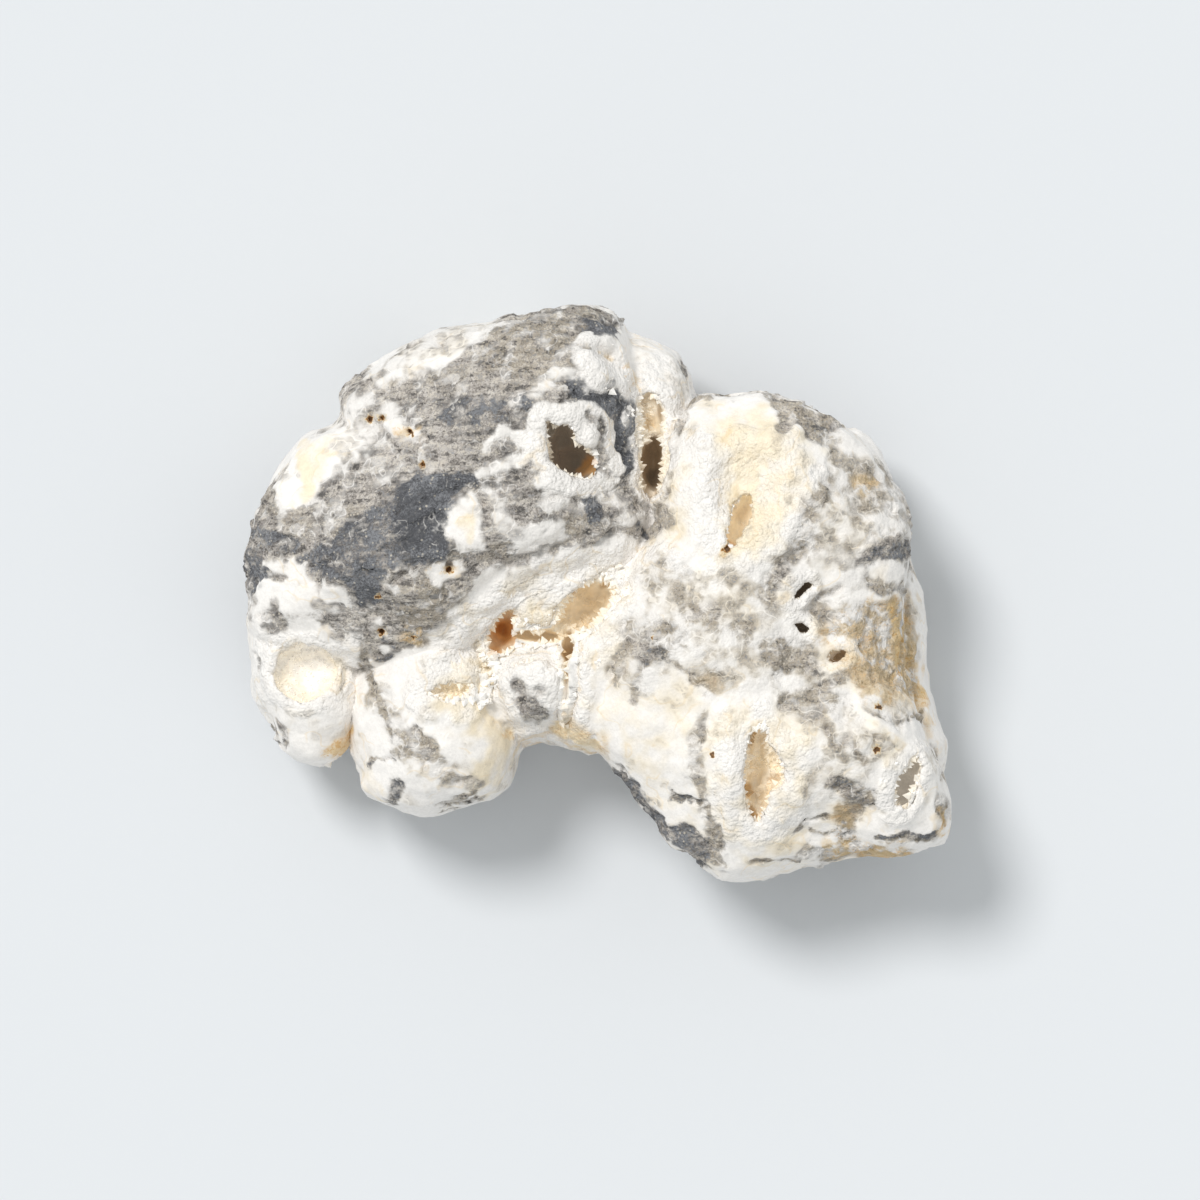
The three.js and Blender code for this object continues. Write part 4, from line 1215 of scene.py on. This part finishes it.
def matrix_material(finish):
    """Grey vein rock: mottled grey with slate, beige flecks, ochre stains and painted shade in creases, and
    white parts between.
    """
    existing = bpy.data.materials.get("Vein rock")
    if existing:
        return existing
    material, tree, surface = new_material("Vein rock")
    broad = spread(tree, noise(tree, 5.5 * MM, 1.0, 0.5))
    coarse = spread(tree, noise(tree, 2.2 * MM, 1.0, 0.6))
    fine = spread(tree, noise(tree, 0.8 * MM, 2.0, 0.75))
    finest = spread(tree, noise(tree, 0.32 * MM, 1.0, 0.7))
    streaks = spread(tree, noise(tree, 1.5 * MM, 2.0, 0.6, (-0.42, (0.4, 1.7, 1.0))))
    specks = grain(tree, 0.75 * MM)
    small_specks = grain(tree, 0.42 * MM)

    mottled = weighted(tree, (broad, 0.25), (streaks, 0.35), (fine, 0.3), (finest, 0.3))
    grey = blend_colours(tree, ramp(tree, mottled, 0.2, 0.6), finish.dark_grey, finish.middle_grey)
    grey = blend_colours(tree, ramp(tree, mottled, 0.5, 0.95), grey, finish.light_grey)
    patchy = ramp(tree, weighted(tree, (coarse, 0.5), (fine, 0.5)), 0.3, 0.7)
    warm = maths(tree, "MULTIPLY", field(tree, "warm"), patchy)
    grey = laid_over(tree, grey, finish.beige, warm, 0.75)
    flakes = ramp(tree, weighted(tree, (streaks, 0.55), (finest, 0.45)), 0.62, 0.82)
    grey = laid_over(tree, grey, finish.pale_fleck, flakes, 0.5)
    shadows = ramp(tree, weighted(tree, (streaks, 0.5), (fine, 0.5)), 0.3, 0.12)
    grey = laid_over(tree, grey, finish.dark_fleck, shadows, 0.5)
    slate_at = weighted(tree, (field(tree, "slate"), 1.0), (coarse, 0.4), (fine, 0.35), (finest, 0.2))
    slate_share = ramp(tree, slate_at, 0.6, 1.1)
    slate_grain = weighted(tree, (broad, 0.3), (coarse, 0.3), (finest, 0.4))
    slate = blend_colours(tree, ramp(tree, slate_grain, 0.3, 0.9), finish.slate, finish.pale_slate)
    grey = blend_colours(tree, slate_share, grey, slate)
    pale_flecks = maths(tree, "MULTIPLY", specks.outputs["Flecks"], ramp(tree, coarse, 0.35, 0.8))
    grey = laid_over(tree, grey, finish.pale_fleck, pale_flecks, 0.75)
    dark_flecks = maths(tree, "MULTIPLY", small_specks.outputs["Flecks"], ramp(tree, coarse, 0.6, 0.2))
    grey = laid_over(tree, grey, finish.dark_fleck, dark_flecks, 0.6)
    cracks = maths(tree, "MULTIPLY", veins(tree, 3.1 * MM, 0.02), ramp(tree, coarse, 0.3, 0.6))
    grey = laid_over(tree, grey, finish.dark_fleck, cracks, 0.3)

    # The cream field also carries painted shade round and below the knob and in the middle cleft's valley
    cream_at = weighted(tree, (field(tree, "cream"), 1.0), (broad, 0.45), (coarse, 0.25))
    white = blend_colours(tree, ramp(tree, cream_at, 0.4, 1.35), finish.white, finish.cream)
    seams = maths(tree, "MULTIPLY", veins(tree, 7.5 * MM, 0.022), ramp(tree, broad, 0.2, 0.7))
    white = laid_over(tree, white, finish.seam, seams, 0.35)
    sugary = ramp(tree, weighted(tree, (fine, 0.6), (finest, 0.4)), 0.15, 0.85, 0.94, 1.02)
    white = blend_colours(tree, 1.0, white, sugary, "MULTIPLY")
    veil_share = ramp(tree, field(tree, "matrix"), 0.0, 0.6, 0.0, 0.28)
    white = blend_colours(tree, veil_share, white, finish.veil)

    # White thins out over the grey in clouds, and runs through it in veins
    clouds = weighted(tree, (broad, 0.46), (coarse, 0.4), (fine, 0.16), (finest, 0.08))
    white_veins = veins(tree, 4.2 * MM, 0.028)
    fields = ((field(tree, "matrix"), 1.0), (field(tree, "slate"), 0.35))
    matrix_at = weighted(tree, *fields, (clouds, 1.0), (white_veins, -0.25))
    matrix_share = ramp(tree, matrix_at, 0.7, 1.4)
    colour = blend_colours(tree, matrix_share, white, grey)
    # The ochre field also carries painted tan shade in creases and hollows
    ochre_share = maths(tree, "MULTIPLY", field(tree, "ochre"), ramp(tree, clouds, 0.25, 0.65))
    colour = blend_colours(tree, ochre_share, colour, finish.ochre)
    rust_share = maths(tree, "MULTIPLY", field(tree, "ochre"), ramp(tree, mottled, 0.7, 0.95))
    colour = laid_over(tree, colour, finish.rust, rust_share, 0.8)
    pit_at = pit_closeness(tree)
    colour = blend_colours(tree, ramp(tree, pit_at, 0.0, 0.45, 0.0, 0.75), colour, finish.pit_halo)
    colour = blend_colours(tree, ramp(tree, pit_at, 0.42, 0.6), colour, finish.stain)
    colour = blend_colours(tree, ramp(tree, pit_at, 0.62, 0.78), colour, finish.pit)
    tree.links.new(colour, surface.inputs["Base Color"])

    rough = ramp(tree, matrix_share, 0.0, 1.0, 0.5, 0.85)
    tree.links.new(rough, surface.inputs["Roughness"])
    height = maths(tree, "ADD", maths(tree, "MULTIPLY", specks.outputs["Height"], 0.5),
                   maths(tree, "MULTIPLY", small_specks.outputs["Height"], 0.3))
    grainy = maths(tree, "ADD", field(tree, "matrix"), field(tree, "sugar"))
    bump_share = ramp(tree, grainy, 0.0, 1.0, 0.15, 0.9)
    bump = place_node(tree, "ShaderNodeBump", None, {
        "Height": maths(tree, "MULTIPLY", height, bump_share),
        "Strength": 1.0,
        "Distance": 0.45 * MM,
    })
    tree.links.new(bump.outputs["Normal"], surface.inputs["Normal"])
    return material


def druse_material(finish):
    """White to cream crystals with a satin sheen, tan and brown in the depths, partly stain and partly
    painted shade, with a painted glow by emission.
    """
    existing = bpy.data.materials.get("Druse")
    if existing:
        return existing
    material, tree, surface = new_material("Druse")
    tint = tree.nodes.new("ShaderNodeAttribute")
    tint.attribute_name = "tint"
    uneven = noise(tree, 1.2 * MM, 1.0, 0.6)
    shade = ramp(tree, uneven, 0.3, 0.7, 0.9, 1.06)
    toned = blend_colours(tree, 1.0, tint.outputs["Color"], shade, "MULTIPLY")
    tree.links.new(toned, surface.inputs["Base Color"])
    tree.links.new(ramp(tree, uneven, 0.3, 0.7, 0.3, 0.5), surface.inputs["Roughness"])
    # Painted light: every crust glows a little by emission and its depths more, standing in for light that
    # comes through the walls of a hollow, so that its depths aren't black
    painted_glow = ramp(tree, field(tree, "deep"), 0.0, 1.0, 0.05, finish.painted_depth_glow)
    tree.links.new(blend_colours(tree, 1.0, toned, painted_glow, "MULTIPLY"), surface.inputs["Emission Color"])
    surface.inputs["Emission Strength"].default_value = 1.0
    material.cycles.emission_sampling = "NONE"
    sugar = grain(tree, 0.5 * MM)
    bump = place_node(tree, "ShaderNodeBump", None, {
        "Height": sugar.outputs["Height"],
        "Strength": 0.4,
        "Distance": 0.12 * MM,
    })
    tree.links.new(bump.outputs["Normal"], surface.inputs["Normal"])
    return material


def table_material(finish):
    material, tree, surface = new_material("Pale table")
    surface.inputs["Base Color"].default_value = (*finish.table, 1.0)
    surface.inputs["Roughness"].default_value = 0.9
    return material


def make_table(finish):
    side = TABLE_HALF_WIDTH
    mesh = bpy.data.meshes.new("table")
    corners = [(-side, -side, 0.0), (side, -side, 0.0), (side, side, 0.0), (-side, side, 0.0)]
    mesh.from_pydata(corners, [], [(0, 1, 2, 3)])
    mesh.materials.append(table_material(finish))
    table = bpy.data.objects.new("table", mesh)
    bpy.context.scene.collection.objects.link(table)


def make_sun():
    """Soft daylight from one side, the same all over the table."""
    light = bpy.data.lights.new("window light", "SUN")
    light.energy = SUN_STRENGTH
    light.angle = SUN_SPREAD
    light.color = SUN_COLOUR
    lamp = bpy.data.objects.new("window light", light)
    lamp.rotation_euler = (-Vector(SUN_FROM)).to_track_quat("-Z", "Y").to_euler()
    bpy.context.scene.collection.objects.link(lamp)


def make_sky():
    world = bpy.data.worlds.new("Studio")
    world.use_nodes = True
    background = world.node_tree.nodes["Background"]
    background.inputs["Color"].default_value = (*SKY_COLOUR, 1.0)
    background.inputs["Strength"].default_value = SKY_STRENGTH
    bpy.context.scene.world = world


def make_camera(sizes):
    """Looks straight down from far away, with the picture's middle at the photograph's."""
    camera = bpy.data.cameras.new("camera")
    camera.sensor_width = 36.0
    picture_width = PHOTO_SIZE * PIXEL
    away = sizes.camera_height - sizes.sharpest_height
    camera.lens = camera.sensor_width * away / picture_width
    camera.clip_start = 0.05
    camera.clip_end = 20.0
    eye = bpy.data.objects.new("camera", camera)
    x, y = to_metres((PHOTO_SIZE / 2, PHOTO_SIZE / 2))
    eye.location = (x, y, sizes.camera_height)
    bpy.context.scene.collection.objects.link(eye)
    bpy.context.scene.camera = eye


def length_property(name, description, default, smallest):
    return FloatProperty(
        name=name, description=description, default=default, min=smallest, unit="LENGTH", precision=5,
    )


def share_property(name, description, default, most=1.0):
    return FloatProperty(
        name=name, description=description, default=default, min=0.0, max=most, subtype="FACTOR",
    )


def colour_property(name, description, default):
    return FloatVectorProperty(
        name=name, description=description, default=default, min=0.0, max=1.0, size=3, subtype="COLOR",
    )


class SpecimenSizes(bpy.types.PropertyGroup):
    """How finely the specimen is made, and where it is seen from"""

    rock_skin: length_property("Rock Skin", "Size of the faces of the rock's skin", 0.42 * MM, 0.2 * MM)
    crust_skin: length_property("Crust Skin", "Size of the faces of a crust's skin", 0.33 * MM, 0.15 * MM)
    underside_share: share_property("Faces Kept", "Share of the rock's faces kept when it is thinned", 0.52)
    relief: share_property("Relief", "How much of the rock's relief is raised", 1.0, 2.0)
    crystal_width: length_property("Crystal Width", "Width of a crystal at its foot", 1.05 * MM, 0.1 * MM)
    crystal_length: length_property("Crystal Length", "Length of a crystal", 0.85 * MM, 0.1 * MM)
    crystal_density: FloatProperty(
        name="Crystals", description="Crystals on a square millimetre of crust", default=1.9, min=0.0,
    )
    seed: IntProperty(name="Seed", description="Which of the many random druses is grown", default=4)
    camera_height: length_property("Camera Height", "Height of the camera above the table", 2.2, 0.1)
    sharpest_height: length_property(
        "Sharpest Height", "Height at which the picture has the photograph's scale", 0.022, 0.0,
    )


class SpecimenFinish(bpy.types.PropertyGroup):
    """The colours of the rock and of the table"""

    white: colour_property("White", "Cold white crystal masses", (0.965, 0.93, 0.89))
    cream: colour_property("Cream", "Warm white crystal masses", (0.96, 0.84, 0.64))
    seam: colour_property("Seam", "Thin warm seams in the white", (0.90, 0.70, 0.42))
    veil: colour_property("Veil", "Grey that shows through thin white", (0.60, 0.575, 0.545))
    light_grey: colour_property("Light Grey", "Palest grey of the matrix", (0.60, 0.56, 0.52))
    middle_grey: colour_property("Middle Grey", "Middle grey of the matrix", (0.34, 0.308, 0.278))
    dark_grey: colour_property("Dark Grey", "Darkest grey of the matrix", (0.15, 0.14, 0.132))
    slate: colour_property("Slate", "Dark slate in the matrix", (0.092, 0.094, 0.102))
    pale_slate: colour_property("Pale Slate", "Paler slate in the matrix", (0.24, 0.245, 0.26))
    beige: colour_property("Beige", "Brownish parts of the matrix", (0.46, 0.39, 0.29))
    # Also the colour of painted tan shade in some creases
    ochre: colour_property("Ochre", "Ochre stains", (0.78, 0.56, 0.27))
    rust: colour_property("Rust", "Rusty flecks in the ochre", (0.62, 0.33, 0.08))
    pale_fleck: colour_property("Pale Flecks", "Pale flecks of the matrix", (0.66, 0.60, 0.50))
    dark_fleck: colour_property("Dark Flecks", "Dark flecks of the matrix", (0.06, 0.057, 0.055))
    pit_halo: colour_property("Pit Halo", "Cream halo round a bare pit", (0.84, 0.70, 0.47))
    stain: colour_property("Stain", "Rusty stain round a bare pit", (0.50, 0.24, 0.06))
    pit: colour_property("Pit", "Brown depths of a bare pit", (0.14, 0.075, 0.032))
    table: colour_property("Table", "Colour of the table", (0.751, 0.774, 0.801))
    # Strength of the painted glow by emission in the depths of the hollows
    painted_depth_glow: share_property("Light in the Depths", "Light passed on to the depths of the hollows", 0.12)


class SPECIMEN_OT_rock(bpy.types.Operator):
    """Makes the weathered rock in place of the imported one"""

    bl_idname = "specimen.rock"
    bl_label = "Make Rock"

    def execute(self, context):
        make_rock(context.scene.specimen_sizes, search_trees())
        return {"FINISHED"}


class SPECIMEN_OT_druse(bpy.types.Operator):
    """Makes the crystal crust of every hollow"""

    bl_idname = "specimen.druse"
    bl_label = "Make Druse"

    def execute(self, context):
        solids = search_trees()
        for node in HOLLOWS:
            make_crust(node, context.scene.specimen_sizes, solids)
        return {"FINISHED"}


class SPECIMEN_OT_stage(bpy.types.Operator):
    """Makes the table, the lights and the camera"""

    bl_idname = "specimen.stage"
    bl_label = "Make Stage"

    def execute(self, context):
        finish = context.scene.specimen_finish
        make_table(finish)
        make_sun()
        make_sky()
        make_camera(context.scene.specimen_sizes)
        context.scene.view_settings.view_transform = "Standard"
        return {"FINISHED"}


class SPECIMEN_PT_panel(bpy.types.Panel):
    """Lists the specimen's sizes, finishes and steps"""

    bl_label = "Specimen"
    bl_idname = "SPECIMEN_PT_panel"
    bl_space_type = "VIEW_3D"
    bl_region_type = "UI"
    bl_category = "Specimen"

    def draw(self, context):
        for group in (context.scene.specimen_sizes, context.scene.specimen_finish):
            for name in group.__annotations__:
                self.layout.prop(group, name)
        for step in (SPECIMEN_OT_rock, SPECIMEN_OT_druse, SPECIMEN_OT_stage):
            self.layout.operator(step.bl_idname)


CLASSES = (
    SpecimenSizes,
    SpecimenFinish,
    SPECIMEN_OT_rock,
    SPECIMEN_OT_druse,
    SPECIMEN_OT_stage,
    SPECIMEN_PT_panel,
)


def register():
    for cls in CLASSES:
        bpy.utils.register_class(cls)
    bpy.types.Scene.specimen_sizes = PointerProperty(type=SpecimenSizes)
    bpy.types.Scene.specimen_finish = PointerProperty(type=SpecimenFinish)


def unregister():
    del bpy.types.Scene.specimen_finish
    del bpy.types.Scene.specimen_sizes
    for cls in reversed(CLASSES):
        bpy.utils.unregister_class(cls)


def main():
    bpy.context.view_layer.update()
    register()
    bpy.ops.specimen.rock()
    bpy.ops.specimen.druse()
    bpy.ops.specimen.stage()


if __name__ == "__main__":
    main()
